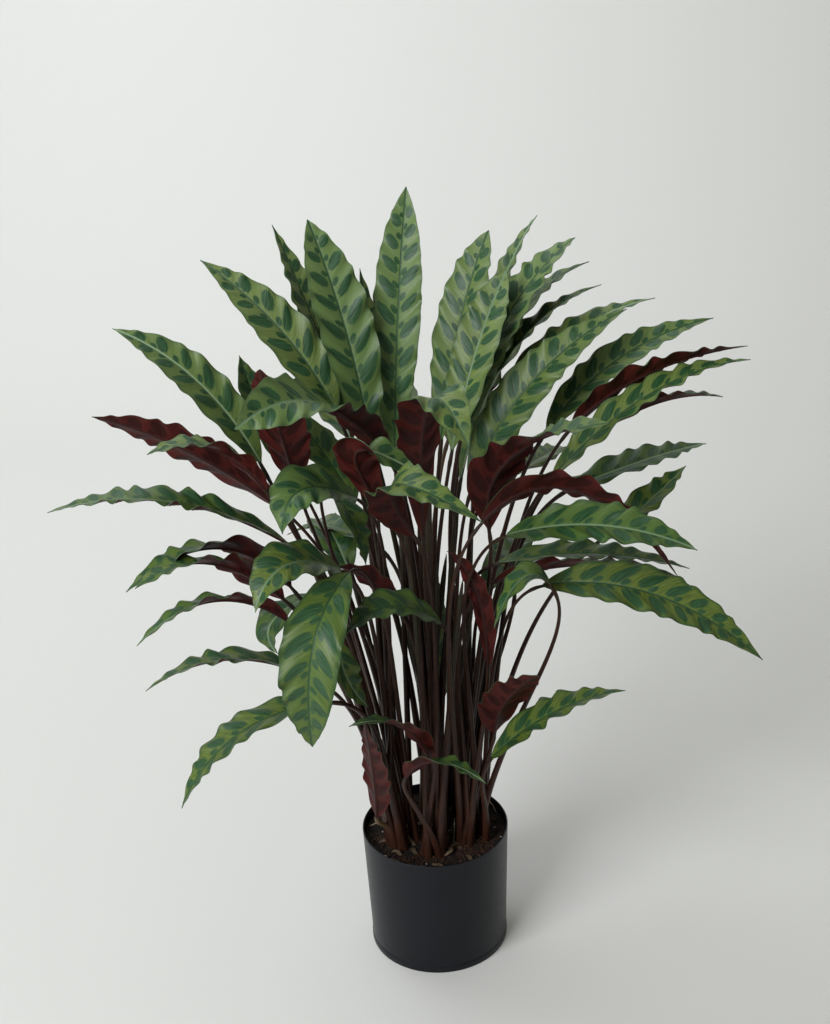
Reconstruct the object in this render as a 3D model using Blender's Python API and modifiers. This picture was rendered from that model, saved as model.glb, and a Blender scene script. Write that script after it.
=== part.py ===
"""Rattlesnake calathea standing in a plain black nursery pot.

Every leaf is a waved, folded blade on its own thin stalk. The stalks rise from seven crowns
that share one rootstock under the soil. Lengths are in millimetres until they reach a mesh.
Axes: +X to the right, +Y away from the viewer, +Z up; the origin is the centre of the pot's base.
"""

import math

import bmesh
import bpy
import numpy as np

MM = 0.001
SEATING_GAP = 0.3
CAP_WELD = 0.01

POT_HEIGHT = 152.0
POT_RIM_RADIUS = 85.0
POT_FOOT_RADIUS = 80.4
POT_WALL = 1.4
POT_FLOOR = 2.0
POT_FOOT_HEIGHT = 9.0
POT_FOOT_STEP = 0.7
POT_RIM_ROUND = 0.4
POT_FLOOR_CORNER = 1.8
POT_BASE_CORNER = 1.6
TURNED_SEGMENTS = 28
TURNED_SHARP_DEGREES = 35

SOIL_TOP = 139.5
SOIL_DOME = 2.0
SOIL_LUMP = 0.8
SOIL_LUMP_PITCH = (7.1, 5.9, 4.3)
SOIL_RINGS = 4
SOIL_LEVEL_BAND = 1.0
SOIL_CALM_EDGE = 0.4

CROWN_COUNT = 6
CROWN_RING_RADIUS = 45.0
CROWN_FOOT_RADIUS = 21.0
CROWN_TOP_RADIUS = 19.0
CROWN_BOTTOM = 117.0
CROWN_TOP = 146.0
CROWN_SIDES = 8
ROOTSTOCK_RADIUS = 58.0
ROOTSTOCK_BOTTOM = 110.0
ROOTSTOCK_TOP = 119.0

STALK_FOOT_HEIGHT = 136.0
STALK_FOOT_SPREAD = 12.0
STALK_FOOT_TURN = 2.39996
STALK_FOOT_STRIDE = 0.618
STALK_FOOT_RADIUS = 4.0
STALK_TIP_RADIUS = 1.9
STALK_POINTS = 6
STALK_TIP_GAP = 0.65
STALK_POINTS_TOWARDS_TIP = 1.5
STALK_SHARP_DEGREES = 40
STALK_RISE_SHARE = 0.45
STALK_BEND_SHARE = 0.22
STALK_SPREAD = 0.6
STALK_LEAST_RISE = 0.7
STALK_TAPER = 1.5
COLLAR_TO_CROWN = 0.45

SPEAR_LEAN = 1.5
SPEAR_FOOT_LEAN = 0.2
SPEAR_SHARES = (0.0, 0.25, 0.5, 0.7, 0.85, 1.0)
SPEAR_RADII = (3.8, 3.0, 2.4, 2.2, 3.3, 0.8)

BLADE_STATIONS = 13
BLADE_THICKNESS = 0.9
RIB_THICKNESS = 2.4
BLADE_FOLD_DEGREES = 14.0
WAVE_HEIGHT = 4.0
BLADE_FOOT_HALF_WIDTH = 2.0
BLADE_TIP_HALF_WIDTH = 0.8
BLADE_FLAT_STATIONS = 2
BLADE_SHARP_DEGREES = 60

# An outline is s**a * (1 - s)**b, with s from the collar to the tip.
SLENDER = (0.7, 0.95)
BROAD = (0.75, 0.65)

# Node, collar, middle of the midrib, tip, width, outline, roll at the collar and at the tip in
# degrees. Two rows with one node are blades that lie pressed together and hold as one body.
LEAVES = (
    # Leaves that stand up in the middle and open towards the top.
    ("leaf_top_1", (-25, 45, 605), (-15, 75, 740), (0, 120, 870), 54, BROAD, 5, 5),
    ("leaf_top_2", (-50, 20, 620), (-70, 50, 735), (-105, 95, 845), 62, BROAD, -15, -15),
    ("leaf_top_3", (-75, 100, 615), (-105, 130, 715), (-150, 180, 825), 52, SLENDER, 5, 5),
    ("leaf_top_4", (-30, 110, 580), (-45, 135, 675), (-55, 165, 775), 48, SLENDER, 25, 25),
    ("leaf_top_5", (-85, 30, 655), (-140, 55, 740), (-220, 85, 810), 56, SLENDER, -35, -35),
    ("leaf_top_6", (45, 30, 615), (100, 55, 740), (175, 85, 815), 50, BROAD, 35, 0),
    ("leaf_top_7", (35, 0, 615), (65, 25, 715), (100, 55, 790), 50, BROAD, 20, 20),
    ("leaf_top_7", (25, 35, 615), (50, 60, 735), (85, 95, 825), 52, BROAD, 20, 10),
    ("leaf_top_8", (60, 125, 630), (100, 160, 745), (145, 190, 820), 44, SLENDER, 0, -25),
    ("leaf_top_9", (45, 60, 560), (105, 80, 695), (205, 100, 760), 46, SLENDER, 5, -5),
    ("leaf_top_9", (70, 90, 615), (115, 105, 725), (195, 125, 780), 46, SLENDER, 10, -5),
    # Leaves that arch out to the left, from the highest down.
    ("leaf_left_1", (-140, 60, 580), (-170, 80, 640), (-190, 100, 700), 46, SLENDER, 0, -20),
    ("leaf_left_2", (-165, -10, 615), (-225, 0, 705), (-305, 10, 760), 50, SLENDER, -35, -35),
    ("leaf_left_3", (-130, 0, 585), (-140, -35, 660), (-150, -75, 735), 60, BROAD, 10, -25),
    ("leaf_left_4", (-70, 0, 560), (-100, 10, 615), (-140, 20, 665), 48, SLENDER, -25, -25),
    ("leaf_left_5", (-155, -75, 610), (-205, -85, 660), (-265, -95, 660), 50, SLENDER, 45, -15),
    ("leaf_left_6", (-145, -30, 570), (-235, -35, 640), (-325, -45, 685), 55, SLENDER, 50, 60),
    ("leaf_left_7", (-140, -60, 545), (-255, -70, 600), (-380, -60, 590), 55, SLENDER, 10, 0),
    ("leaf_left_8", (-140, -60, 495), (-210, -90, 555), (-300, -110, 520), 52, SLENDER, 75, -25),
    ("leaf_left_8", (-145, -90, 495), (-215, -115, 550), (-285, -135, 535), 50, SLENDER, 70, -25),
    ("leaf_left_9", (-140, -110, 480), (-210, -140, 520), (-285, -160, 485), 42, SLENDER, 45, -5),
    ("leaf_left_10", (-120, -20, 465), (-165, -45, 445), (-160, -50, 410), 40, SLENDER, 5, -20),
    ("leaf_left_11", (-120, -120, 420), (-200, -150, 460), (-280, -170, 440), 44, SLENDER, 5, 15),
    ("leaf_left_12", (-105, -130, 395), (-195, -170, 385), (-255, -190, 315), 46, SLENDER, 0, -5),
    # Leaves that hang or curl towards the viewer.
    ("leaf_front_1", (-30, 0, 605), (-95, -95, 705), (-170, -150, 700), 62, BROAD, 50, -75),
    ("leaf_front_2", (-65, -60, 590), (-115, -120, 625), (-135, -145, 590), 56, SLENDER, -40, -10),
    ("leaf_front_3", (-90, -20, 580), (-70, -45, 555), (-60, -50, 510), 38, SLENDER, -15, -15),
    ("leaf_front_4", (-85, -80, 520), (-135, -140, 555), (-165, -170, 520), 56, SLENDER, -35, -5),
    ("leaf_front_5", (-30, -40, 455), (-60, -50, 495), (-90, -60, 515), 36, SLENDER, 40, 45),
    ("leaf_front_6", (-75, -110, 530), (-110, -185, 490), (-120, -175, 370), 63, BROAD, -15, -25),
    ("leaf_front_7", (-90, -95, 445), (-85, -115, 415), (-65, -110, 375), 42, SLENDER, 10, -15),
    ("leaf_front_8", (15, -70, 450), (-35, -120, 495), (-80, -145, 480), 48, SLENDER, -35, 5),
    ("leaf_front_9", (0, -60, 545), (10, -135, 710), (45, -185, 685), 56, BROAD, 5, 5),
    ("leaf_front_10", (-30, -70, 565), (-60, -120, 660), (0, -120, 635), 48, BROAD, -50, -15),
    ("leaf_front_10", (-10, -80, 555), (-25, -155, 640), (55, -210, 620), 54, SLENDER, 40, 0),
    ("leaf_front_11", (70, -40, 540), (90, -85, 635), (185, -110, 675), 64, BROAD, -75, 20),
    ("leaf_front_12", (65, -45, 380), (55, -45, 470), (25, -45, 520), 28, SLENDER, 50, 60),
    ("leaf_front_13", (130, -75, 490), (100, -80, 500), (70, -80, 445), 40, SLENDER, -5, -10),
    # Leaves that arch out to the right, from the highest down.
    ("leaf_right_1", (55, 5, 570), (120, 25, 675), (225, 50, 745), 54, SLENDER, 45, 30),
    ("leaf_right_2", (80, 60, 605), (155, 80, 700), (265, 110, 740), 46, SLENDER, 35, 0),
    ("leaf_right_3", (140, 50, 615), (220, 70, 685), (325, 90, 720), 46, SLENDER, 30, 20),
    ("leaf_right_4", (140, 0, 580), (240, -10, 670), (340, -20, 705), 52, SLENDER, 25, -5),
    ("leaf_right_4", (165, 30, 625), (240, 10, 685), (340, -5, 715), 46, SLENDER, -45, -25),
    ("leaf_right_5", (190, 20, 620), (260, 25, 650), (325, 30, 650), 44, SLENDER, -55, 0),
    ("leaf_right_6", (165, 40, 550), (245, 60, 570), (320, 80, 580), 46, SLENDER, 10, 5),
    ("leaf_right_7", (85, -80, 550), (175, -125, 575), (265, -150, 555), 56, SLENDER, 20, 25),
    ("leaf_right_8", (60, -90, 570), (155, -80, 595), (265, -60, 485), 50, SLENDER, -60, -20),
    ("leaf_right_9", (200, 20, 500), (250, 30, 535), (290, 40, 570), 46, SLENDER, 15, 5),
    ("leaf_right_10", (80, -25, 495), (180, -25, 500), (285, -20, 475), 46, SLENDER, 0, 0),
    ("leaf_right_10", (75, -20, 470), (170, -20, 485), (275, -20, 465), 46, SLENDER, -60, 10),
    ("leaf_right_11", (125, -45, 475), (235, -90, 480), (340, -130, 420), 58, SLENDER, 25, 30),
    # Short leaves near the pot.
    ("leaf_low_1", (0, -80, 290), (-35, -115, 355), (-85, -130, 365), 36, SLENDER, 35, 0),
    ("leaf_low_2", (-30, -90, 275), (5, -110, 305), (55, -125, 285), 36, SLENDER, -55, 5),
    ("leaf_low_3", (-65, -60, 205), (-65, -85, 280), (-70, -115, 360), 38, SLENDER, -30, -40),
    ("leaf_low_4", (70, -40, 295), (80, -80, 355), (110, -130, 415), 52, BROAD, -10, -20),
    ("leaf_low_5", (65, -60, 275), (130, -80, 340), (205, -100, 375), 50, SLENDER, 25, -5),
    ("leaf_low_6", (15, 85, 265), (10, 115, 345), (10, 155, 420), 42, SLENDER, 35, 35),
    # Leaves that face away from the viewer.
    ("leaf_back_1", (-75, 120, 590), (-105, 190, 615), (-140, 250, 615), 52, SLENDER, 0, 0),
    ("leaf_back_2", (-20, 120, 585), (-25, 190, 620), (-35, 260, 620), 54, SLENDER, 0, 0),
    ("leaf_back_3", (35, 120, 585), (55, 190, 610), (65, 250, 605), 52, SLENDER, 0, 0),
    ("leaf_back_4", (90, 110, 535), (145, 170, 540), (175, 215, 535), 50, SLENDER, 0, 0),
    ("leaf_back_5", (-85, 85, 440), (-110, 150, 470), (-130, 220, 450), 50, SLENDER, 0, 0),
    ("leaf_back_5", (-50, 110, 460), (-105, 155, 470), (-165, 205, 440), 48, SLENDER, 0, 0),
    ("leaf_back_6", (70, 95, 400), (110, 150, 435), (140, 215, 420), 48, SLENDER, 0, 0),
    ("leaf_back_6", (105, 80, 410), (105, 150, 432), (85, 225, 400), 46, SLENDER, 0, 0),
)


# Rolled young leaves that rise among the stalks: place on the crown, and tip.
SPEARS = (
    ((-46, 16), (-123, 59, 488)),
    ((-45, 26), (-61, 81, 495)),
    ((-38, 30), (-84, 23, 489)),
    ((-36, -21), (-106, -35, 434)),
    ((-29, 17), (-16, 15, 617)),
    ((-10, 3), (26, 29, 483)),
    ((-7, 42), (9, 28, 615)),
    ((-7, 41), (-50, 97, 475)),
    ((-6, 52), (-1, 15, 576)),
    ((-5, 8), (-53, 41, 503)),
    ((-4, 1), (-18, -13, 564)),
    ((-3, 8), (-25, 39, 514)),
    ((-2, 51), (-45, 80, 583)),
    ((-1, 7), (10, -29, 607)),
    ((0, -43), (-15, -57, 519)),
    ((1, 45), (-15, 89, 520)),
    ((3, 53), (-30, 115, 470)),
    ((3, 35), (3, 57, 637)),
    ((4, 51), (12, 55, 448)),
    ((5, -6), (-23, 6, 431)),
    ((5, 48), (42, 52, 531)),
    ((6, 39), (-33, 50, 435)),
    ((6, -3), (14, -9, 500)),
    ((7, -2), (37, 9, 541)),
    ((8, -42), (40, -63, 495)),
    ((9, 6), (4, -2, 630)),
    ((10, -1), (53, -1, 439)),
    ((43, 28), (83, 38, 444)),
)


def clear_scene():
    for old in list(bpy.data.objects):
        bpy.data.objects.remove(old, do_unlink=True)


def new_collection(name):
    made = bpy.data.collections.new(name)
    bpy.context.scene.collection.children.link(made)
    return made


def new_material(name, colour, roughness):
    made = bpy.data.materials.new(name)
    made.use_nodes = True
    shader = made.node_tree.nodes["Principled BSDF"]
    shader.inputs["Base Color"].default_value = (*colour, 1.0)
    shader.inputs["Roughness"].default_value = roughness
    shader.inputs["Metallic"].default_value = 0.0
    made.diffuse_color = (*colour, 1.0)
    return made


def add_object(name, mesh, collection):
    made = bpy.data.objects.new(name, mesh)
    collection.objects.link(made)
    return made


def mesh_from_bmesh(name, bm):
    mesh = bpy.data.meshes.new(name)
    bm.to_mesh(mesh)
    bm.free()
    return mesh


def evaluated_mesh(obj):
    """A plain mesh of the object with its modifiers or its curve's bevel worked out."""
    graph = bpy.context.evaluated_depsgraph_get()
    return bpy.data.meshes.new_from_object(obj.evaluated_get(graph))


def shade_round(obj, sharp_degrees):
    obj.data.shade_smooth()
    obj.data.set_sharp_from_angle(angle=math.radians(sharp_degrees))


def turned_object(name, profile, collection):
    """A profile of (radius, height) points that starts and ends on the axis, turned round Z."""
    mesh = bpy.data.meshes.new(name)
    points = [(radius * MM, 0.0, height * MM) for radius, height in profile]
    edges = [(i, i + 1) for i in range(len(points) - 1)]
    mesh.from_pydata(points, edges, [])
    obj = add_object(name, mesh, collection)
    screw = obj.modifiers.new("turn", "SCREW")
    screw.steps = TURNED_SEGMENTS
    screw.render_steps = TURNED_SEGMENTS
    screw.use_merge_vertices = True
    screw.merge_threshold = 0.0001
    return obj


def pot_outer_radius(height):
    """The wall tapers evenly from the rim to the foot."""
    share = (height - POT_FOOT_HEIGHT) / (POT_HEIGHT - POT_FOOT_HEIGHT)
    return POT_FOOT_RADIUS + (POT_RIM_RADIUS - POT_FOOT_RADIUS) * share


def pot_profile():
    """From the middle of the floor up the inside, over the rim, down the outside and in below."""
    inner_rim = POT_RIM_RADIUS - POT_WALL
    inner_foot = POT_FOOT_RADIUS - POT_WALL
    foot = POT_FOOT_RADIUS + POT_FOOT_STEP
    return [
        (0.0, POT_FLOOR),
        (inner_foot - POT_FLOOR_CORNER, POT_FLOOR),
        (inner_foot, POT_FLOOR + POT_FLOOR_CORNER),
        (inner_rim, POT_HEIGHT - POT_RIM_ROUND),
        (inner_rim + POT_RIM_ROUND, POT_HEIGHT),
        (POT_RIM_RADIUS - POT_RIM_ROUND, POT_HEIGHT),
        (POT_RIM_RADIUS, POT_HEIGHT - POT_RIM_ROUND),
        (POT_FOOT_RADIUS, POT_FOOT_HEIGHT),
        (foot, POT_FOOT_HEIGHT - 2 * POT_FOOT_STEP),
        (foot, POT_BASE_CORNER),
        (foot - POT_BASE_CORNER, 0.0),
        (0.0, 0.0),
    ]


def make_pot(collection, material):
    pot = turned_object("pot", pot_profile(), collection)
    pot.data.materials.append(material)
    shade_round(pot, TURNED_SHARP_DEGREES)
    return pot


def soil_profile():
    """Top surface from the axis to the wall, down the wall, and in along the floor."""
    wall_gap = POT_WALL + SEATING_GAP
    edge = pot_outer_radius(SOIL_TOP) - wall_gap
    top = []
    for ring in range(SOIL_RINGS + 1):
        share = ring / SOIL_RINGS
        top.append((edge * share, SOIL_TOP + SOIL_DOME * (1 - share**2)))
    floor = POT_FLOOR + SEATING_GAP
    low = POT_FOOT_RADIUS - wall_gap
    return top + [(low, floor + POT_FLOOR_CORNER), (low - POT_FLOOR_CORNER, floor), (0.0, floor)]


def lumps(points):
    """Soil heights at plan points: a few crossed sine waves that fade out at the wall."""
    x, y = points[:, 0] / MM, points[:, 1] / MM
    pitch_x, pitch_y, pitch_across = SOIL_LUMP_PITCH
    waves = np.sin(x / pitch_x + 1) * np.cos(y / pitch_y) + 0.6 * np.sin((x - y) / pitch_across)
    from_wall = 1.0 - np.hypot(x, y) / pot_outer_radius(SOIL_TOP)
    return SOIL_LUMP * waves * np.clip(from_wall / SOIL_CALM_EDGE, 0.0, 1.0) * MM


def make_soil(collection, cutters, material):
    blank = turned_object("soil_blank", soil_profile(), collection)
    mesh = evaluated_mesh(blank)
    bpy.data.objects.remove(blank, do_unlink=True)
    points = np.empty(len(mesh.vertices) * 3)
    mesh.vertices.foreach_get("co", points)
    points = points.reshape(-1, 3)
    on_top = points[:, 2] > (SOIL_TOP - SOIL_LEVEL_BAND) * MM
    points[on_top, 2] += lumps(points[on_top])
    mesh.vertices.foreach_set("co", points.ravel())
    soil = add_object("soil", mesh, collection)
    cut = soil.modifiers.new("crown holes", "BOOLEAN")
    cut.operation = "DIFFERENCE"
    cut.solver = "EXACT"
    cut.operand_type = "COLLECTION"
    cut.collection = cutters
    mesh.materials.clear()
    mesh.materials.append(material)
    return soil


def cone_mesh(name, foot_radius, top_radius, bottom, top, sides):
    bm = bmesh.new()
    bmesh.ops.create_cone(
        bm,
        cap_ends=True,
        cap_tris=False,
        segments=sides,
        radius1=foot_radius * MM,
        radius2=top_radius * MM,
        depth=(top - bottom) * MM,
    )
    bmesh.ops.translate(bm, verts=bm.verts, vec=(0, 0, (top + bottom) / 2 * MM))
    return mesh_from_bmesh(name, bm)


def crown_places():
    """The middle crown first, then a ring of six; each is (x, y)."""
    places = [(0.0, 0.0)]
    for index in range(CROWN_COUNT):
        angle = math.radians(30 + 360 * index / CROWN_COUNT)
        places.append((CROWN_RING_RADIUS * math.cos(angle), CROWN_RING_RADIUS * math.sin(angle)))
    return places


def make_rootstock_bodies(collection, grow):
    """Crowns and rootstock, each grown outwards by the given clearance."""
    made = []
    for index, (x, y) in enumerate(crown_places()):
        mesh = cone_mesh(
            f"crown_{index}",
            CROWN_FOOT_RADIUS + grow,
            CROWN_TOP_RADIUS + grow,
            CROWN_BOTTOM - grow,
            CROWN_TOP + grow,
            CROWN_SIDES,
        )
        crown = add_object(f"crown_{index}", mesh, collection)
        crown.location = (x * MM, y * MM, 0.0)
        made.append(crown)
    disc = cone_mesh(
        "rootstock",
        ROOTSTOCK_RADIUS + grow,
        ROOTSTOCK_RADIUS + grow,
        ROOTSTOCK_BOTTOM - grow,
        ROOTSTOCK_TOP + grow,
        2 * CROWN_SIDES,
    )
    made.append(add_object("rootstock", disc, collection))
    return made


def unit(vectors):
    return vectors / np.linalg.norm(vectors, axis=-1, keepdims=True)


def midrib_points(collar, middle, tip, share):
    """Points and directions of the quadratic curve that passes through all three places."""
    control = 2 * middle - (collar + tip) / 2
    s = share[:, None]
    points = (1 - s) ** 2 * collar + 2 * s * (1 - s) * control + s**2 * tip
    direction = unit((1 - s) * (control - collar) + s * (tip - control))
    return points, direction


def blade_frame(collar, tip, direction, roll):
    """Side and face directions: face up when the leaf lies level, then rolled about the rib."""
    heading = np.array([tip[0] - collar[0], tip[1] - collar[1], 0.0])
    level_side = np.cross(unit(heading), (0.0, 0.0, 1.0))
    side = unit(level_side - (direction @ level_side)[:, None] * direction)
    face = np.cross(side, direction)
    c, s = np.cos(roll)[:, None], np.sin(roll)[:, None]
    return side * c - face * s, face * c + side * s


def half_width(share, width, outline):
    """Half the blade's width at a share of its length, as s**a * (1 - s)**b scaled to its peak."""
    a, b = outline
    peak = a / (a + b)
    top = peak**a * (1 - peak) ** b
    half = width / 2 * share**a * (1 - share) ** b / top
    narrowest = BLADE_FOOT_HALF_WIDTH + (BLADE_TIP_HALF_WIDTH - BLADE_FOOT_HALF_WIDTH) * share
    return np.maximum(half, narrowest)


def blade_surface(row, share, across):
    """Points of the upper face for arrays of share (0 to 1) and across (-1 to 1)."""
    _, collar, middle, tip, width, outline, roll_start, roll_end = row
    collar, middle, tip = (np.array(place, float) for place in (collar, middle, tip))
    roll = np.radians(roll_start + (roll_end - roll_start) * share)
    points, direction = midrib_points(collar, middle, tip, share)
    side, face = blade_frame(collar, tip, direction, roll)
    half = half_width(share, width, outline)
    fold = math.radians(BLADE_FOLD_DEGREES)
    station = np.round(share * (BLADE_STATIONS - 1))
    ripple = np.where((station + (across > 0)) % 2 == 0, 1.0, -1.0)
    wave = WAVE_HEIGHT * ripple * np.minimum(2 * half / width, 1.0) * np.abs(across)
    wave *= np.clip(station / BLADE_FLAT_STATIONS, 0.0, 1.0)
    out = (half * np.cos(fold) * across)[:, None] * side
    lift = (half * np.sin(fold) * np.abs(across) + wave)[:, None] * face
    return points - out + lift


def thin_blade(row, collection, materials):
    """A triangulated sheet on the blade's upper face, with Solidify giving it a thickness."""
    name = row[0]
    bm = bmesh.new()
    bmesh.ops.create_grid(bm, x_segments=BLADE_STATIONS - 1, y_segments=2, size=0.5)
    bmesh.ops.triangulate(bm, faces=bm.faces, quad_method="FIXED")
    mesh = mesh_from_bmesh(name, bm)
    flat = np.empty(len(mesh.vertices) * 3)
    mesh.vertices.foreach_get("co", flat)
    flat = flat.reshape(-1, 3)
    share, across = flat[:, 0] + 0.5, np.round(2 * flat[:, 1])
    collar = np.array(row[1], float)
    local = (blade_surface(row, share, across) - collar) * MM
    mesh.vertices.foreach_set("co", local.ravel())
    for material in materials:
        mesh.materials.append(material)
    blade = add_object(name, mesh, collection)
    blade.location = collar * MM
    ribbed = blade.vertex_groups.new(name="rib")
    for index, (s, u) in enumerate(zip(share, across)):
        rib = RIB_THICKNESS + (BLADE_THICKNESS - RIB_THICKNESS) * s
        ribbed.add([index], (rib if u == 0 else BLADE_THICKNESS) / RIB_THICKNESS, "REPLACE")
    solid = blade.modifiers.new("thickness", "SOLIDIFY")
    solid.thickness = RIB_THICKNESS * MM
    solid.offset = -1.0
    solid.vertex_group = ribbed.name
    solid.material_offset = 1
    return blade


def keep_largest_body(mesh):
    """Drops loose scraps and sealed inner skins: only the connected skin with most faces stays."""
    bm = bmesh.new()
    bm.from_mesh(mesh)
    left = set(bm.faces)
    bodies = []
    while left:
        seed = left.pop()
        body, edge = {seed}, [seed]
        while edge:
            face = edge.pop()
            near = {f for e in face.edges for f in e.link_faces} & left
            left -= near
            body |= near
            edge.extend(near)
        bodies.append(body)
    largest = max(bodies, key=len)
    scraps = [face for face in bm.faces if face not in largest]
    bmesh.ops.delete(bm, geom=scraps, context="FACES")
    bm.to_mesh(mesh)
    bm.free()


def joined(base, others, name, collection):
    """One closed mesh from overlapping closed ones, by a union on a collection."""
    group = new_collection(f"{name}_parts")
    for other in others:
        for holder in list(other.users_collection):
            holder.objects.unlink(other)
        group.objects.link(other)
    union = base.modifiers.new("union", "BOOLEAN")
    union.operation = "UNION"
    union.solver = "MANIFOLD"
    union.operand_type = "COLLECTION"
    union.collection = group
    bpy.context.view_layer.update()
    mesh = evaluated_mesh(base)
    place = base.location.copy()
    for other in [base, *others]:
        bpy.data.objects.remove(other, do_unlink=True)
    bpy.data.collections.remove(group)
    keep_largest_body(mesh)
    mesh.name = name
    made = add_object(name, mesh, collection)
    made.location = place
    return made


def make_blades(collection, materials):
    """One node for each leaf name in the table."""
    by_name = {}
    for row in LEAVES:
        by_name.setdefault(row[0], []).append(thin_blade(row, collection, materials))
    made = []
    for name, blades in by_name.items():
        blade = blades[0]
        if len(blades) > 1:
            blade.name = f"{name}_first"
            blade = joined(blade, blades[1:], name, collection)
        blade.name = name
        shade_round(blade, BLADE_SHARP_DEGREES)
        made.append(blade)
    return made


def stalk_foot(collar, order):
    """A place on the crown that lies nearest under the collar, scattered by the golden angle."""
    lean = collar[:2] * COLLAR_TO_CROWN
    x, y = min(crown_places(), key=lambda place: math.dist(lean, place))
    turn = order * STALK_FOOT_TURN
    off = STALK_FOOT_SPREAD * math.sqrt(order * STALK_FOOT_STRIDE % 1)
    return np.array([x + off * math.cos(turn), y + off * math.sin(turn), STALK_FOOT_HEIGHT])


def cubic(foot, first, last, end, t):
    return (1 - t) ** 3 * foot + 3 * t * (1 - t) ** 2 * first + 3 * t**2 * (1 - t) * last + t**3 * end


def stalk_path(row, order):
    """A cubic curve from the crown to just under the blade, leaving it in line with the midrib."""
    collar, middle, tip = (np.array(place, float) for place in row[1:4])
    start, roll = np.zeros(1), np.radians([float(row[6])])
    _, direction = midrib_points(collar, middle, tip, start)
    _, face = blade_frame(collar, tip, direction, roll)
    end = collar - direction[0] * STALK_TIP_GAP - face[0] * RIB_THICKNESS / 2
    foot = stalk_foot(collar, order)
    reach = np.linalg.norm(end - foot)
    out = (end - foot) / reach
    climb = max(out[2] + 0.4, STALK_LEAST_RISE)
    rise = unit(np.array([STALK_SPREAD * out[0], STALK_SPREAD * out[1], climb]))
    first = foot + rise * reach * STALK_RISE_SHARE
    last = end - direction[0] * reach * STALK_BEND_SHARE
    t = 1 - np.linspace(1, 0, STALK_POINTS)[:, None] ** STALK_POINTS_TOWARDS_TIP
    return cubic(foot, first, last, end, t)


def stalk_radii():
    """Stout at the crown and slim for the rest of the way."""
    share = np.linspace(0, 1, STALK_POINTS)
    return STALK_TIP_RADIUS + (STALK_FOOT_RADIUS - STALK_TIP_RADIUS) * (1 - share) ** STALK_TAPER


def spear_path(place, tip):
    """A cubic curve that leaves the crown almost upright and leans a little more at its tip."""
    foot, tip = np.array([*place, STALK_FOOT_HEIGHT]), np.array(tip, float)
    reach = np.linalg.norm(tip - foot)
    out = (tip - foot) / reach
    first = foot + np.array([SPEAR_FOOT_LEAN * out[0], SPEAR_FOOT_LEAN * out[1], 1]) * reach * 0.4
    last = tip - np.array([SPEAR_LEAN * out[0], SPEAR_LEAN * out[1], 1]) * reach * 0.3
    return cubic(foot, first, last, tip, np.array(SPEAR_SHARES)[:, None])


def stalk_object(name, path, radii, collection):
    """A tapered tube along the path, as a closed mesh with welded caps."""
    curve = bpy.data.curves.new(name, "CURVE")
    curve.dimensions = "3D"
    curve.bevel_depth = MM
    curve.bevel_resolution = 1
    curve.use_fill_caps = True
    spline = curve.splines.new("POLY")
    spline.points.add(len(path) - 1)
    for point, place, radius in zip(spline.points, path, radii):
        point.co = (*(place * MM), 1.0)
        point.radius = radius
    guide = add_object(name, curve, collection)
    mesh = evaluated_mesh(guide)
    bpy.data.objects.remove(guide, do_unlink=True)
    bm = bmesh.new()
    bm.from_mesh(mesh)
    bmesh.ops.remove_doubles(bm, verts=bm.verts, dist=CAP_WELD * MM)
    bmesh.ops.recalc_face_normals(bm, faces=bm.faces)
    bm.to_mesh(mesh)
    bm.free()
    return add_object(name, mesh, collection)


def make_stalks(collection, material):
    """All stalks, young leaves, crowns and the rootstock, grown together as one body."""
    bodies = make_rootstock_bodies(collection, 0.0)
    for index, row in enumerate(LEAVES):
        path = stalk_path(row, index)
        bodies.append(stalk_object(f"stalk_{index}", path, stalk_radii(), collection))
    for index, (place, tip) in enumerate(SPEARS):
        path = spear_path(place, tip)
        bodies.append(stalk_object(f"spear_{index}", path, SPEAR_RADII, collection))
    base = bodies.pop(len(crown_places()))
    base.name = "rootstock_base"
    stalks = joined(base, bodies, "stalks", collection)
    stalks.data.materials.clear()
    stalks.data.materials.append(material)
    shade_round(stalks, STALK_SHARP_DEGREES)
    return stalks


def main():
    clear_scene()
    plant = new_collection("rattlesnake_calathea")
    cutters = new_collection("cutters")
    black_plastic = new_material("black_moulded_plastic", (0.018, 0.021, 0.026), 0.35)
    peat = new_material("peat_soil", (0.035, 0.022, 0.014), 0.95)
    stalk_brown = new_material("stalk_brown", (0.085, 0.042, 0.030), 0.5)
    leaf_green = new_material("leaf_upper_green", (0.095, 0.180, 0.050), 0.42)
    leaf_maroon = new_material("leaf_under_maroon", (0.105, 0.018, 0.026), 0.5)
    whole = add_object("plant_in_pot", None, plant)
    for cutter in make_rootstock_bodies(cutters, SEATING_GAP / math.cos(math.pi / CROWN_SIDES)):
        cutter.name = f"cutter_{cutter.name}"
        cutter.hide_render = True
        cutter.display_type = "WIRE"
    pieces = [make_pot(plant, black_plastic), make_soil(plant, cutters, peat)]
    pieces.append(make_stalks(plant, stalk_brown))
    pieces += make_blades(plant, (leaf_green, leaf_maroon))
    for piece in pieces:
        piece.parent = whole


main()
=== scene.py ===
# %% [markdown]
# # A rattlesnake calathea in its nursery pot
#
# This lesson dresses a plain solid model of a house plant. The solids already have the right
# places and sizes; what they lack is the skin of the real thing: ruffled blades with dark ovals
# along their side veins, brown stalks with a swollen joint under each blade, crumbly peat and
# smooth black plastic. Everything is computed with numpy as surfaces of two parameters, and the
# colours come from shader nodes that follow those same two parameters.
#
# Lengths are in millimetres while a shape is worked out and become metres when it is put into a
# mesh. +X is to the right, +Y away from the viewer, +Z up, with the origin under the pot.

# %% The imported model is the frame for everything
import math

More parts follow.
